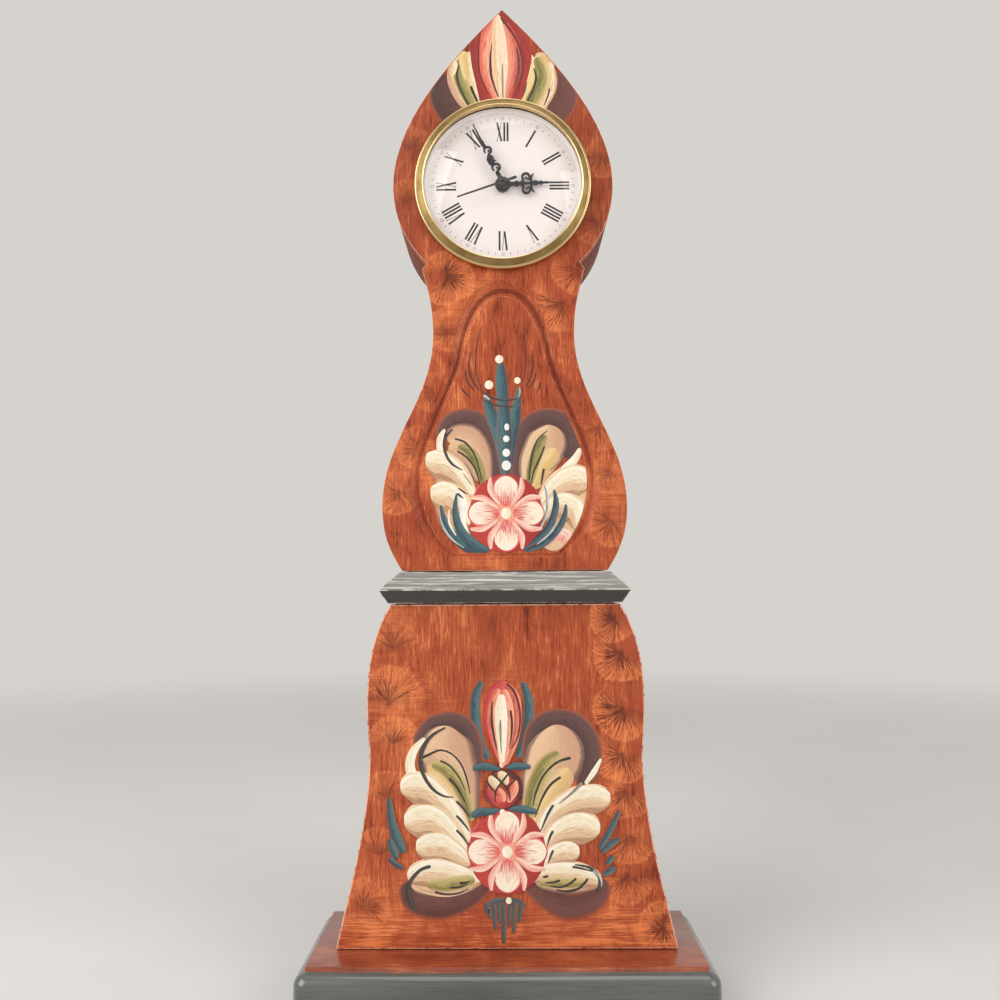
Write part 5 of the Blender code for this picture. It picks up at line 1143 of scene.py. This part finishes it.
stroke("coral", (0, 98.6, 1.4), (3.4, 108, 3.6), (5, 118, 4), (4, 127, 4.6), (0.4, 132.6, 3))
stroke("salmon", (-3, 131, 3), (-5.4, 124, 5), (-5.6, 115, 5), (-3.6, 105, 3.4), (-1.8, 98, 1.6))
stroke("salmon", (-1, 130.6, 4), (0.6, 123, 6), (1, 114, 5.4), (-0.2, 104, 3.4), (-1.2, 98, 1.6))
stroke("cream", (-1.8, 128.6, 2.8), (-2, 121, 5.8), (-1.8, 111, 5), (-1.7, 99, 2))
stroke("maroon", (0.3, 133, 1), (3.4, 130.2, 1.3), (5.5, 124.6, 1.1), (6.3, 118, 1), (5, 110, 0.8),
       (2, 105, 0.3))
stroke("dark", (-5.7, 125.6, 0.7), (-6.1, 118, 1.1), (-5.1, 110.5, 1), (-3.6, 104, 0.3))
stroke("dark", (2.1, 121.8, 1), (2.7, 116, 1.1), (2.3, 110, 0.8), (1.4, 105.4, 0.3))
stroke("grey", (-2.3, 117.8, 0.7), (-2.3, 112, 1), (-1.9, 103.6, 0.3))
dot("curl", -1.7, 98.6, 1.2)
dot("cream", -1.6, 78.8, 1.3)
dot("cream", 0.9, 42.3, 1.3)
finish_motif("trunk_flower")

# Clock insert: a black moulded cup, held in the bore by a rubber ring, with a quartz movement behind its
# front plate. A coil drives the rotor, and nylon wheels carry the motion to the hands.
black_moulding = moulded("black_moulding", colour(30, 30, 31), colour(40, 40, 41), 0.42, 0.6)
dress_nodes(black_moulding, "housing", "train_bridge", "coil_bobbin", "clock_chip")
dress_nodes(moulded("black_rubber", colour(34, 34, 34), colour(44, 44, 44), 0.7, 0.85), "grip_ring")
dress_nodes(moulded("natural_nylon", colour(212, 208, 198), colour(228, 225, 216), 0.42, 0.58),
            "hour_wheel", "motion_wheel", "seconds_wheel", "third_wheel", "centre_wheel",
            "intermediate_wheel", "cannon_pinion")
dress_nodes(moulded("bonded_magnet", colour(112, 112, 115), colour(134, 134, 138), 0.5, 0.7), "rotor")
dress_nodes(moulded("green_laminate", colour(36, 104, 56), colour(52, 126, 70), 0.35, 0.5), "circuit_board")
dress_nodes(plain_metal("enamelled_copper", colour(176, 92, 52), colour(214, 128, 78), 5200), "coil_winding")
dress_nodes(plain_steel, "stator", "clutch_spring", "quartz_crystal", "bridge_screw_left",
            "bridge_screw_right", "contact_plus", "contact_minus")

# Dial: a thin disc printed white, in the front of the clock's cup, with a white ring between it and the
# lens. The print is a thin film: black Roman numerals, their feet to the middle, and a grey minute track.
dial_hole = 3.2
dial_arris = 0.05
ring_width = 1.5


def round_size(node):
    """A round solid's radius, and its front and back levels before the case's face, in mm."""
    low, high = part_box(node)
    return (high.x - low.x) / 2 / MM, (case_front - low.y) / MM, (case_front - high.y) / MM


def turned(profile, closed=True):
    """A piece turned round the dial's axis from its section: radius and level before the face, in mm."""
    section = [Vector((radius * MM, case_front - level * MM, dial_z)) for radius, level in profile]
    piece = draw_line(section, closed)
    open_mesh()
    bpy.ops.mesh.spin(steps=round_steps, angle=2 * math.pi, center=(0, 0, dial_z), axis=(0, 1, 0))
    bpy.ops.object.mode_set(mode="OBJECT")
    close_grid(piece)
    bpy.ops.object.shade_smooth_by_angle(angle=smooth_angle)
    return piece


dial_radius, dial_face, dial_back = round_size("dial")
dial_disc = turned([
    (dial_hole, dial_face), (dial_radius - dial_arris, dial_face), (dial_radius, dial_face - dial_arris),
    (dial_radius, dial_back), (dial_hole, dial_back),
])
dial_print = Finish("printed_white_dial", Specular_IOR_Level=0.3)
print_cloud = dial_print.noise(60, detail=4)
print_tooth = dial_print.noise(5200, detail=2)
dial_print.shade("Base Color", dial_print.mix(print_cloud, colour(245, 233, 229), colour(249, 239, 235)))
dial_print.rough(print_tooth, 0.5, 0.62)
dial_print.bump(print_tooth, 0.004 * MM)
dial_print.dress(dial_disc)
seat(dial_disc, "printed_dial", "case", "dial", "dial")

ring_front, ring_back = round_size("dial_ring")[1:]
edge_ring = turned([
    (dial_radius - ring_width, ring_back), (dial_radius - 0.5, ring_front - 0.15),
    (dial_radius - 0.3, ring_front), (dial_radius, ring_front), (dial_radius, ring_back),
])
ring_plastic = Finish("white_ring_plastic")
ring_cloud = ring_plastic.noise(300, detail=2)
ring_plastic.shade("Base Color", ring_plastic.mix(ring_cloud, colour(234, 226, 222), colour(243, 237, 233)))
ring_plastic.rough(ring_cloud, 0.32, 0.42)
ring_plastic.dress(edge_ring)
seat(edge_ring, "dial_edge_ring", "case", "white_plastic", "dial_ring")

numeral_foot = 21.6
numeral_head = 30.4
numeral_width = {"I": 1.5, "V": 3.2, "X": 3.2}
thick_stem = 0.86
hairline = 0.24
print_film = 0.03
track_radius = 32.3
tick_half_length = 0.55
track_line_half = 0.13
track_loop = 0.62
# Each letter's strokes run from (across, up) to (across, up), as shares of its width and height, with
# their own width in mm.
letter_strokes = {
    "I": [((0, 0), (0, 1), thick_stem),
          ((-0.36, 0), (0.36, 0), hairline), ((-0.36, 1), (0.36, 1), hairline)],
    "V": [((-0.3, 1), (0.02, 0), thick_stem), ((0.32, 1), (0.06, 0), hairline),
          ((-0.46, 1), (-0.14, 1), hairline), ((0.2, 1), (0.46, 1), hairline)],
    "X": [((-0.3, 1), (0.3, 0), thick_stem), ((0.3, 1), (-0.3, 0), hairline),
          ((-0.46, 1), (-0.14, 1), hairline), ((0.18, 1), (0.44, 1), hairline),
          ((-0.44, 0), (-0.18, 0), hairline), ((0.14, 0), (0.46, 0), hairline)],
}
numerals = ["XII", "I", "II", "III", "IIII", "V", "VI", "VII", "VIII", "IX", "X", "XI"]


def dial_place(across, out, turn, level):
    """A point on the dial: across and out along a radius turned clockwise from 12, in mm."""
    spot = Matrix.Rotation(turn, 3, "Y") @ Vector((across * MM, 0, out * MM))
    return spot + Vector((0, case_front - level * MM, dial_z))


def printed_bar(corners, turn):
    """A bar of print: four corners (across, out), a film thick, sunk a little into the dial."""
    clear_bench()
    bpy.ops.mesh.primitive_cube_add(size=1)
    bar = bpy.context.object
    ends = {(-1, -1): corners[0], (1, -1): corners[1], (1, 1): corners[2], (-1, 1): corners[3]}
    for point in bar.data.vertices:
        across, out = ends[(math.copysign(1, point.co.x), math.copysign(1, point.co.z))]
        level = dial_face + print_film * math.copysign(1, -point.co.y)
        point.co = dial_place(across, out, turn, level)
    return bar


def printed_letter(letter, middle, turn):
    """The bars of one letter of a numeral, its middle offset across the radius."""
    bars = []
    for (x0, y0), (x1, y1), width in letter_strokes[letter]:
        wide, tall = numeral_width[letter], numeral_head - numeral_foot
        start = Vector((middle + x0 * wide, numeral_foot + y0 * tall))
        end = Vector((middle + x1 * wide, numeral_foot + y1 * tall))
        side = Vector((width / 2, 0)) if abs(end.y - start.y) > 1 else Vector((0, width / 2))
        if side.y:
            corners = [start - side, end - side, end + side, start + side]
        else:
            corners = [start - side, start + side, end + side, end - side]
        bars.append(printed_bar(corners, turn))
    return bars


def joined_outwards(pieces):
    """Joins pieces into the first of them, with its faces turned outwards."""
    whole = joined(pieces)
    open_mesh()
    close_mesh()
    return whole


chapters = []
for hour, numeral in enumerate(numerals):
    turn = math.radians(30 * hour)
    run = -sum(numeral_width[letter] for letter in numeral) / 2
    for letter in numeral:
        chapters += printed_letter(letter, run + numeral_width[letter] / 2, turn)
        run += numeral_width[letter]
chapter_ring = joined_outwards(chapters)
black_print = Finish("black_dial_print", Specular_IOR_Level=0.3)
ink = black_print.noise(2600, detail=3)
black_print.shade("Base Color", black_print.two_tone(ink, colour(26, 26, 30), colour(48, 47, 52)))
black_print.rough(ink, 0.5, 0.65)
black_print.dress(chapter_ring)
seat(chapter_ring, "dial_numerals", "case", "hands")

track = []
for minute in range(60):
    turn = math.radians(6 * minute)
    if minute % 5:
        wide = track_line_half
        inner, outer = track_radius - tick_half_length, track_radius + tick_half_length
        track.append(printed_bar([(-wide, inner), (wide, inner), (wide, outer), (-wide, outer)], turn))
        continue
    clear_bench()
    bpy.ops.mesh.primitive_torus_add(
        major_segments=20, minor_segments=6, major_radius=track_loop * MM, minor_radius=track_line_half * MM)
    loop = bpy.context.object
    for point in loop.data.vertices:
        across, out = point.co.x / MM, track_radius + point.co.y / MM
        level = dial_face + print_film * point.co.z / (track_line_half * MM)
        point.co = dial_place(across, out, turn, level)
    track.append(loop)
minute_track = joined_outwards(track)
grey_print = Finish("grey_dial_print", Specular_IOR_Level=0.3)
grey_ink = grey_print.noise(2600, detail=3)
grey_print.shade("Base Color", grey_print.mix(grey_ink, colour(128, 118, 118), colour(168, 156, 154)))
grey_print.rough(grey_ink, 0.5, 0.65)
grey_print.dress(minute_track)
seat(minute_track, "dial_minute_track", "case", "hands")

# Bezel: a ring spun from brass sheet, with a polished bead round its inner lip, a sloping satin band and a
# polished roll round its foot. It is pushed over the flange of the cup, so that it holds the lens.
bezel_edge, bezel_crest, bezel_foot = round_size("bezel")
bezel_inside = bezel_edge - 1
bezel_lip = 36.0
lip_back = 2.9
lip_outside = bezel_lip + 0.95
roll_inside = bezel_edge - 1.35
roll_crown = bezel_edge - 1.1
bezel_ring = turned([
    (bezel_lip, lip_back), (bezel_lip, bezel_crest - 0.45), (bezel_lip + 0.12, bezel_crest - 0.14),
    (bezel_lip + 0.42, bezel_crest), (bezel_lip + 0.72, bezel_crest - 0.14),
    (lip_outside, bezel_crest - 0.5), (bezel_lip + 1.3, bezel_crest - 0.66),
    (roll_inside, 2.96), (roll_crown, 3.12),
    (bezel_edge - 0.75, 3.16), (bezel_edge - 0.4, 3.0), (bezel_edge - 0.12, 2.6), (bezel_edge, 1.9),
    (bezel_edge, bezel_foot), (bezel_inside, bezel_foot), (bezel_inside, lip_back),
])


def axis_radius(finish):
    """How far a point lies from the dial's axis."""
    off_axis = finish.node("VectorMath", {0: finish.place, 1: (0, 0, dial_z)}, operation="SUBTRACT")
    flat = finish.node("VectorMath", {0: off_axis, 1: (1, 0, 1)}, operation="MULTIPLY")
    return finish.node("VectorMath", {0: flat}, output="Value", operation="LENGTH")


satin_brass_and_highlights = Finish("satin_brass_and_highlights", Metallic=1.0)
brass_radius = axis_radius(satin_brass_and_highlights)
spun_place = satin_brass_and_highlights.node("CombineXYZ", {0: brass_radius, 1: satin_brass_and_highlights.axis("Y")})
spun_lines = satin_brass_and_highlights.noise(7000, detail=2, place=spun_place)
brass_cloud = satin_brass_and_highlights.noise(120, detail=4)
brass_tone = satin_brass_and_highlights.two_tone(brass_cloud, colour(126, 104, 62), colour(148, 124, 80))
# The polished roll and lip are smoother, and also painted a paler brass as a painted highlight.
highlit_polished_roll = satin_brass_and_highlights.fade(brass_radius, roll_inside * MM, roll_crown * MM)
highlit_polished_lip = satin_brass_and_highlights.fade(brass_radius, (bezel_lip + 0.5) * MM, lip_outside * MM, 1.0, 0.0)
polished = satin_brass_and_highlights.sum("MAXIMUM", highlit_polished_roll, highlit_polished_lip)
satin_brass_and_highlights.shade("Base Color", satin_brass_and_highlights.mix(polished, brass_tone, colour(208, 180, 131)))
satin_rough = satin_brass_and_highlights.fade(spun_lines, 0.3, 0.7, 0.42, 0.54)
satin_brass_and_highlights.shade("Roughness", satin_brass_and_highlights.blend((satin_rough, 1.0), (polished, -0.24)))
satin_brass_and_highlights.bump(spun_lines, 0.01 * MM)
satin_brass_and_highlights.dress(bezel_ring)
seat(bezel_ring, "brass_bezel", "case", "brass", "bezel")

# Lens: a shallow dome of clear acrylic, moulded in one piece with its flat rim. The bezel's lip holds the
# rim against the cup.
lens_edge, lens_apex, lens_back = round_size("lens")
lens_wall = 1.0
lens_rim = lens_back + lens_wall
lens_bending = 1.49


def dome(rim_radius, rim_level, apex, steps=24):
    """Radii and levels of a shallow dome, from its middle to its rim."""
    rise = apex - rim_level
    ball = (rim_radius ** 2 + rise ** 2) / (2 * rise)
    radii = [rim_radius * step / steps for step in range(steps + 1)]
    return [(radius, apex - ball + math.sqrt(ball ** 2 - radius ** 2)) for radius in radii]


lens_outside = dome(bezel_lip - 0.3, lens_rim, lens_apex)
lens_inside = dome(bezel_lip - 0.8, lens_back, lens_apex - lens_wall)
lens_section = lens_outside + [(lens_edge, lens_rim), (lens_edge, lens_back)] + lens_inside[::-1]
clear_lens = turned(lens_section, closed=False)
clear_acrylic = Finish("clear_acrylic", Metallic=1.0)
haze = clear_acrylic.noise(220, detail=3)
outer_side = clear_acrylic.sum("SUBTRACT", 1.0, clear_acrylic.node("NewGeometry", output="Backfacing"))
glint = clear_acrylic.sum("MULTIPLY", clear_acrylic.node("Fresnel", {"IOR": lens_bending}), outer_side)
clear_acrylic.shade("Base Color", clear_acrylic.mix(haze, colour(250, 250, 250), colour(255, 255, 255)))
clear_acrylic.rough(haze, 0.03, 0.06)
clear_acrylic.shade("Alpha", glint)
clear_acrylic.dress(clear_lens)
seat(clear_lens, "lens_dome", "case", "lens", "lens")

# Hands: pressed from thin sheet and sprayed black, in the serpentine style with open scrolls. The hour hand
# is pushed on its tube, the minute hand on the cannon pinion, and the second hand on the middle arbor.
hand_steps = 26


def arc(across, along, radius, start, sweep, width, steps=8):
    """Points (across, along, width) on an arc, from an angle in degrees, widest in its middle."""
    points = []
    for step in range(steps + 1):
        angle = math.radians(start + sweep * step / steps)
        swell = width * (0.7 + 0.3 * math.sin(math.pi * step / steps))
        points.append((across + radius * math.cos(angle), along + radius * math.sin(angle), swell))
    return points


def pressed_hand(name, body, node, turn, *lines):
    """A hand from flat strokes (across, along, width) in mm, turned clockwise, joined into one sheet."""
    front, back = round_size(node)[1:]
    plates = []
    for points in lines:
        line, halves = brush_line(points, hand_steps)
        sides = [across_stroke(line, column) * half for column, half in enumerate(halves)]
        left = [spot.xy + side for spot, side in zip(line, sides)]
        right = [spot.xy - side for spot, side in zip(line, sides)]
        outline = [dial_place(spot.x, spot.y, math.radians(turn), front) for spot in left + right[::-1]]
        plate = draw_line(outline, closed=True)
        open_mesh()
        bpy.ops.mesh.remove_doubles(threshold=0.002 * MM)
        bpy.ops.mesh.edge_face_add()
        bpy.ops.mesh.extrude_region_move(TRANSFORM_OT_translate={"value": (0, (front - back) * MM, 0)})
        bpy.ops.object.mode_set(mode="OBJECT")
        plates.append(plate)
    hand = joined_outwards(plates)
    open_mesh()
    bpy.ops.mesh.intersect_boolean(operation="UNION", use_self=True, solver="EXACT")
    bpy.ops.object.mode_set(mode="OBJECT")
    bpy.ops.object.shade_smooth_by_angle(angle=smooth_angle)
    black_hand.dress(hand)
    seat(hand, name, body, "hands", node)


black_hand = Finish("black_hand_spray_and_hub_highlights", Coat_Weight=0.1, Coat_Roughness=0.3)
spray = black_hand.noise(3000, detail=3)
sprayed = black_hand.two_tone(spray, colour(20, 20, 22), colour(36, 35, 37))
boss_radius = axis_radius(black_hand)
# Painted highlights: a pale ring is painted just inside the edge of each hand's boss, where the edge catches
# light.
for hub_highlight_radius in (1.4 * MM, 2.3 * MM, 3.5 * MM):
    off_ring = black_hand.sum("ABSOLUTE", black_hand.sum("SUBTRACT", boss_radius, hub_highlight_radius))
    painted_hub_highlight = black_hand.fade(off_ring, 0.05 * MM, 0.2 * MM, 0.6, 0.0)
    sprayed = black_hand.mix(painted_hub_highlight, sprayed, colour(120, 118, 116))
black_hand.shade("Base Color", sprayed)
black_hand.rough(spray, 0.36, 0.5)
black_hand.bump(spray, 0.01 * MM)

hour_turn = 87.9
hour_lines = [
    [(-3.6, 0, 7.2), (3.6, 0, 7.2)],
    [(0, 2.5, 2.8), (0, 5, 1.8), (0, 6.4, 2.9), (0, 7.8, 1.6), (0, 9, 3.4), (0, 10.2, 1.8)],
    [(0, 9.6, 1.6), (0, 11.5, 1.1), (0, 14.2, 1.8)],
    [(0, 13.4, 1.4), (0, 15.2, 2.5), (0, 16.4, 1.2), (0, 17.4, 2.1), (0, 18.6, 1.0), (0, 20, 1.1),
     (0, 21.7, 0.4)],
]
for side in (-1, 1):
    scroll = arc(3.05, 10.7, 1.65, 205, 285, 1.2)
    scroll += [(2.1, 11.3, 0.7), (2.6, 10.7, 0.9)]
    barb = [(0.2, 13.4, 1.1), (1.6, 12.9, 1.3), (3.0, 13.2, 1.2), (4.5, 14.4, 0.3)]
    bead = [(2.3, 10.7, 1.1), (3.1, 10.7, 1.1)]
    for line in (scroll, barb, bead):
        hour_lines.append([(side * across, along, width) for across, along, width in line])
pressed_hand("scroll_hour_hand", "hour", "hour_hand", hour_turn, *hour_lines)

minute_turn = 334.2
minute_lines = [
    [(-2.4, 0, 4.8), (2.4, 0, 4.8)],
    [(0, 1.6, 2.4), (0, 4.4, 1.9), (-0.2, 6.2, 2.2)],
    arc(0.5, 7.9, 1.75, -110, 330, 1.2),
    [(1.5, 7.2, 0.9), (0.9, 7.5, 1.1), (0.7, 8.2, 0.7)],
    [(-0.6, 9.2, 1.0), (-0.5, 10.4, 2.4), (-0.2, 12, 3.4), (0, 13.8, 2.6), (0, 15, 1.7)],
    [(-1.4, 11.2, 0.5), (-0.6, 10.8, 1), (1, 11.2, 1), (2, 10.8, 0.4)],
    [(-1.9, 12.9, 0.4), (-0.8, 13.4, 1), (0.6, 13.4, 1), (1.7, 13, 0.4)],
    arc(0.6, 16.9, 1.6, -120, 330, 1.1),
    [(1.5, 16.3, 0.8), (0.9, 16.6, 1.0), (0.7, 17.2, 0.6)],
    [(-0.3, 18.2, 1.2), (0, 19.4, 1.8), (0, 20.6, 1.3), (0, 21.4, 1.7), (0, 22.6, 1.0), (0, 27, 0.7),
     (0, 31.2, 0.3)],
]
pressed_hand("scroll_minute_hand", "minute", "minute_hand", minute_turn, *minute_lines)

second_turn = 251
second_lines = [
    [(-1.5, 0, 3), (1.5, 0, 3)],
    [(0, -6.7, 1.3), (0, -3, 1), (0, 0, 0.9), (0, 12, 0.75), (0, 22, 0.6)],
]
pressed_hand("needle_second_hand", "second", "second_hand", second_turn, *second_lines)

# Back of the insert: a black moulded cover, held by three cross-slotted screws, with the battery bay sunk
# into it. The ribbed knob turns the hands, and the battery lies across, free to be pulled out to the back.
cover_ease = 0.25 * MM
knob_ease = 0.2 * MM
screw_ease = 0.12 * MM
cell_ease = 0.3 * MM
flat_angle = math.radians(1)


def eased_copy(node, width):
    """A copy of a solid, its loose triangles merged and its flat faces made whole, with eased arrises."""
    clear_bench()
    piece = bpy.data.objects.new(node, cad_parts[node].data.copy())
    bpy.context.scene.collection.objects.link(piece)
    bpy.context.view_layer.objects.active = piece
    piece.select_set(True)
    open_mesh()
    bpy.ops.mesh.remove_doubles(threshold=0.001 * MM)
    bpy.ops.mesh.dissolve_limited(angle_limit=flat_angle)
    bpy.ops.object.mode_set(mode="OBJECT")
    ease_arrises(piece, width)
    return piece


cover = eased_copy("rear_cover", cover_ease)
black_moulding.dress(cover)
seat(cover, "moulded_rear_cover", "case", "black_plastic", "rear_cover")
knob = eased_copy("setting_knob", knob_ease)
black_moulding.dress(knob)
seat(knob, "ribbed_setting_knob", "setting", "black_plastic", "setting_knob")

slot_width = 0.5 * MM
slot_depth = 0.45 * MM
slot_share = 0.62
for number in (1, 2, 3):
    node = f"cover_screw_{number}"
    low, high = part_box(node)
    head = Vector(((low.x + high.x) / 2, high.y, (low.z + high.z) / 2))
    screw = eased_copy(node, screw_ease)
    reach = slot_share * (high.x - low.x)
    for wide, tall in ((reach, slot_width), (slot_width, reach)):
        cut(screw, block(head, (wide, 2 * slot_depth, tall)))
    plain_steel.dress(screw)
    seat(screw, f"slotted_cover_screw_{number}", "case", "steel", node)

battery_low, battery_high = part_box("battery")
crimp = 1.1 * MM
nub = 1.2 * MM
band_width = 9 * MM
band_blur = 0.2 * MM
cell = eased_copy("battery", cell_ease)
jacket = Finish("battery_jacket")
cell_run = jacket.axis("X")
bare_end = jacket.sum("GREATER_THAN", cell_run, battery_high.x - nub - crimp)
bare_start = jacket.sum("LESS_THAN", cell_run, battery_low.x + crimp)
bare = jacket.sum("MAXIMUM", bare_end, bare_start)
band_start = battery_high.x - nub - band_width
band = jacket.fade(cell_run, band_start, band_start + band_blur)
scuffs = jacket.noise(700, (0.2, 1, 1), detail=4)
wrapped = jacket.mix(band, colour(44, 50, 62), colour(178, 132, 78))
wrapped = jacket.mix(jacket.fade(scuffs, 0.55, 0.75, 0.0, 0.3), wrapped, colour(120, 122, 128))
jacket.shade("Base Color", jacket.mix(bare, wrapped, colour(190, 192, 194)))
jacket.shade("Metallic", jacket.sum("MAXIMUM", bare, 0.35))
jacket.rough(scuffs, 0.28, 0.42)
jacket.dress(cell)
seat(cell, "wrapped_battery", "battery", "battery", "battery")

# Studio: a pale floor that fades into the colour of the backdrop, under a soft sky. A large lamp stands to
# the left of the camera, a weaker one to its right and one above. The camera is where the photo was taken.
floor_half = 40.0
floor_near = 0.4
floor_far = 1.6
backdrop = colour(214, 211, 207)
sky_colour = (1.0, 0.985, 0.97, 1.0)
sky_strength = 0.36


def seen_rays(nodes):
    """1 for rays that show the backdrop: from the camera, off a glossy surface or through a clear one."""
    seen = 0.0
    for ray in ("Is Camera Ray", "Is Glossy Ray", "Is Transmission Ray"):
        seen = nodes.sum("MAXIMUM", seen, nodes.node("LightPath", output=ray))
    return seen


floor_finish = Finish("pale_floor", Roughness=0.75, Specular_IOR_Level=0.0, Emission_Color=backdrop)
floor_grain = floor_finish.noise(9, detail=4)
floor_tone = floor_finish.mix(floor_grain, colour(230, 227, 222), colour(238, 235, 231))
floor_reach = floor_finish.node("VectorMath", {0: floor_finish.place}, output="Value", operation="LENGTH")
floor_fade = floor_finish.fade(floor_reach, floor_near, floor_far)
floor_share = floor_finish.sum("MULTIPLY", floor_fade, seen_rays(floor_finish))
floor_finish.shade("Base Color", floor_finish.mix(floor_share, floor_tone, colour(0, 0, 0)))
floor_finish.shade("Emission Strength", floor_share)
clear_bench()
floor_middle = (0, 0, cad_box[0][2])
bpy.ops.mesh.primitive_circle_add(vertices=96, radius=floor_half, fill_type="NGON", location=floor_middle)
studio_floor = bpy.context.object
studio_floor.name = "studio_floor"
bpy.ops.object.transform_apply(location=True, rotation=True, scale=True)
floor_finish.dress(studio_floor)

sky = bpy.data.worlds.new("pale_sky")
sky.use_nodes = True
sky_light = sky.node_tree.nodes["Background"]
sky_light.inputs["Color"].default_value = sky_colour
sky_light.inputs["Strength"].default_value = sky_strength
sky_nodes = Nodes(sky.node_tree)
sky_seen = sky_nodes.node("Background", {"Color": backdrop})
sky_mix = sky_nodes.node("MixShader", {0: seen_rays(sky_nodes), 1: sky_light.outputs[0], 2: sky_seen})
sky_nodes.feed(sky.node_tree.nodes["World Output"].inputs["Surface"], sky_mix)
bpy.context.scene.world = sky
bpy.context.scene.view_settings.view_transform = "Standard"


def soft_lamp(name, place, aim, size, power):
    """A square soft lamp at a place, pointing at its aim."""
    clear_bench()
    turn = (Vector(aim) - Vector(place)).to_track_quat("-Z", "Y").to_euler()
    bpy.ops.object.light_add(type="AREA", location=place, rotation=turn)
    lamp = bpy.context.object
    lamp.name = name
    lamp.data.size = size
    lamp.data.energy = power


clock_middle = (0, 0, (cad_box[0][2] + cad_box[1][2]) / 2)
soft_lamp("key_lamp", (-1.1, -0.85, 0.9), clock_middle, 1.1, 15)
soft_lamp("fill_lamp", (1.2, -1.0, 0.7), clock_middle, 1.0, 9)
soft_lamp("top_lamp", (0.1, -0.35, 1.7), clock_middle, 1.0, 6)

camera_place = Vector((1.2, -401.45, 176.2)) * MM
camera_pitch = math.radians(5.41)
camera_yaw = math.radians(-0.47)
camera_roll = math.radians(-0.29)
camera_lens = 31.795
camera_sensor = 36
camera_near = 0.01
level_ahead = Vector((math.sin(camera_yaw), math.cos(camera_yaw), 0))
ahead = math.cos(camera_pitch) * level_ahead + Vector((0, 0, math.sin(camera_pitch)))
level_right = Vector((math.cos(camera_yaw), -math.sin(camera_yaw), 0))
level_up = level_right.cross(ahead)
right = math.cos(camera_roll) * level_right + math.sin(camera_roll) * level_up
up = math.cos(camera_roll) * level_up - math.sin(camera_roll) * level_right
clear_bench()
bpy.ops.object.camera_add()
camera = bpy.context.object
camera.matrix_world = Matrix.Translation(camera_place) @ Matrix((right, up, -ahead)).transposed().to_4x4()
camera.data.lens = camera_lens
camera.data.sensor_width = camera_sensor
camera.data.clip_start = camera_near
bpy.context.scene.camera = camera
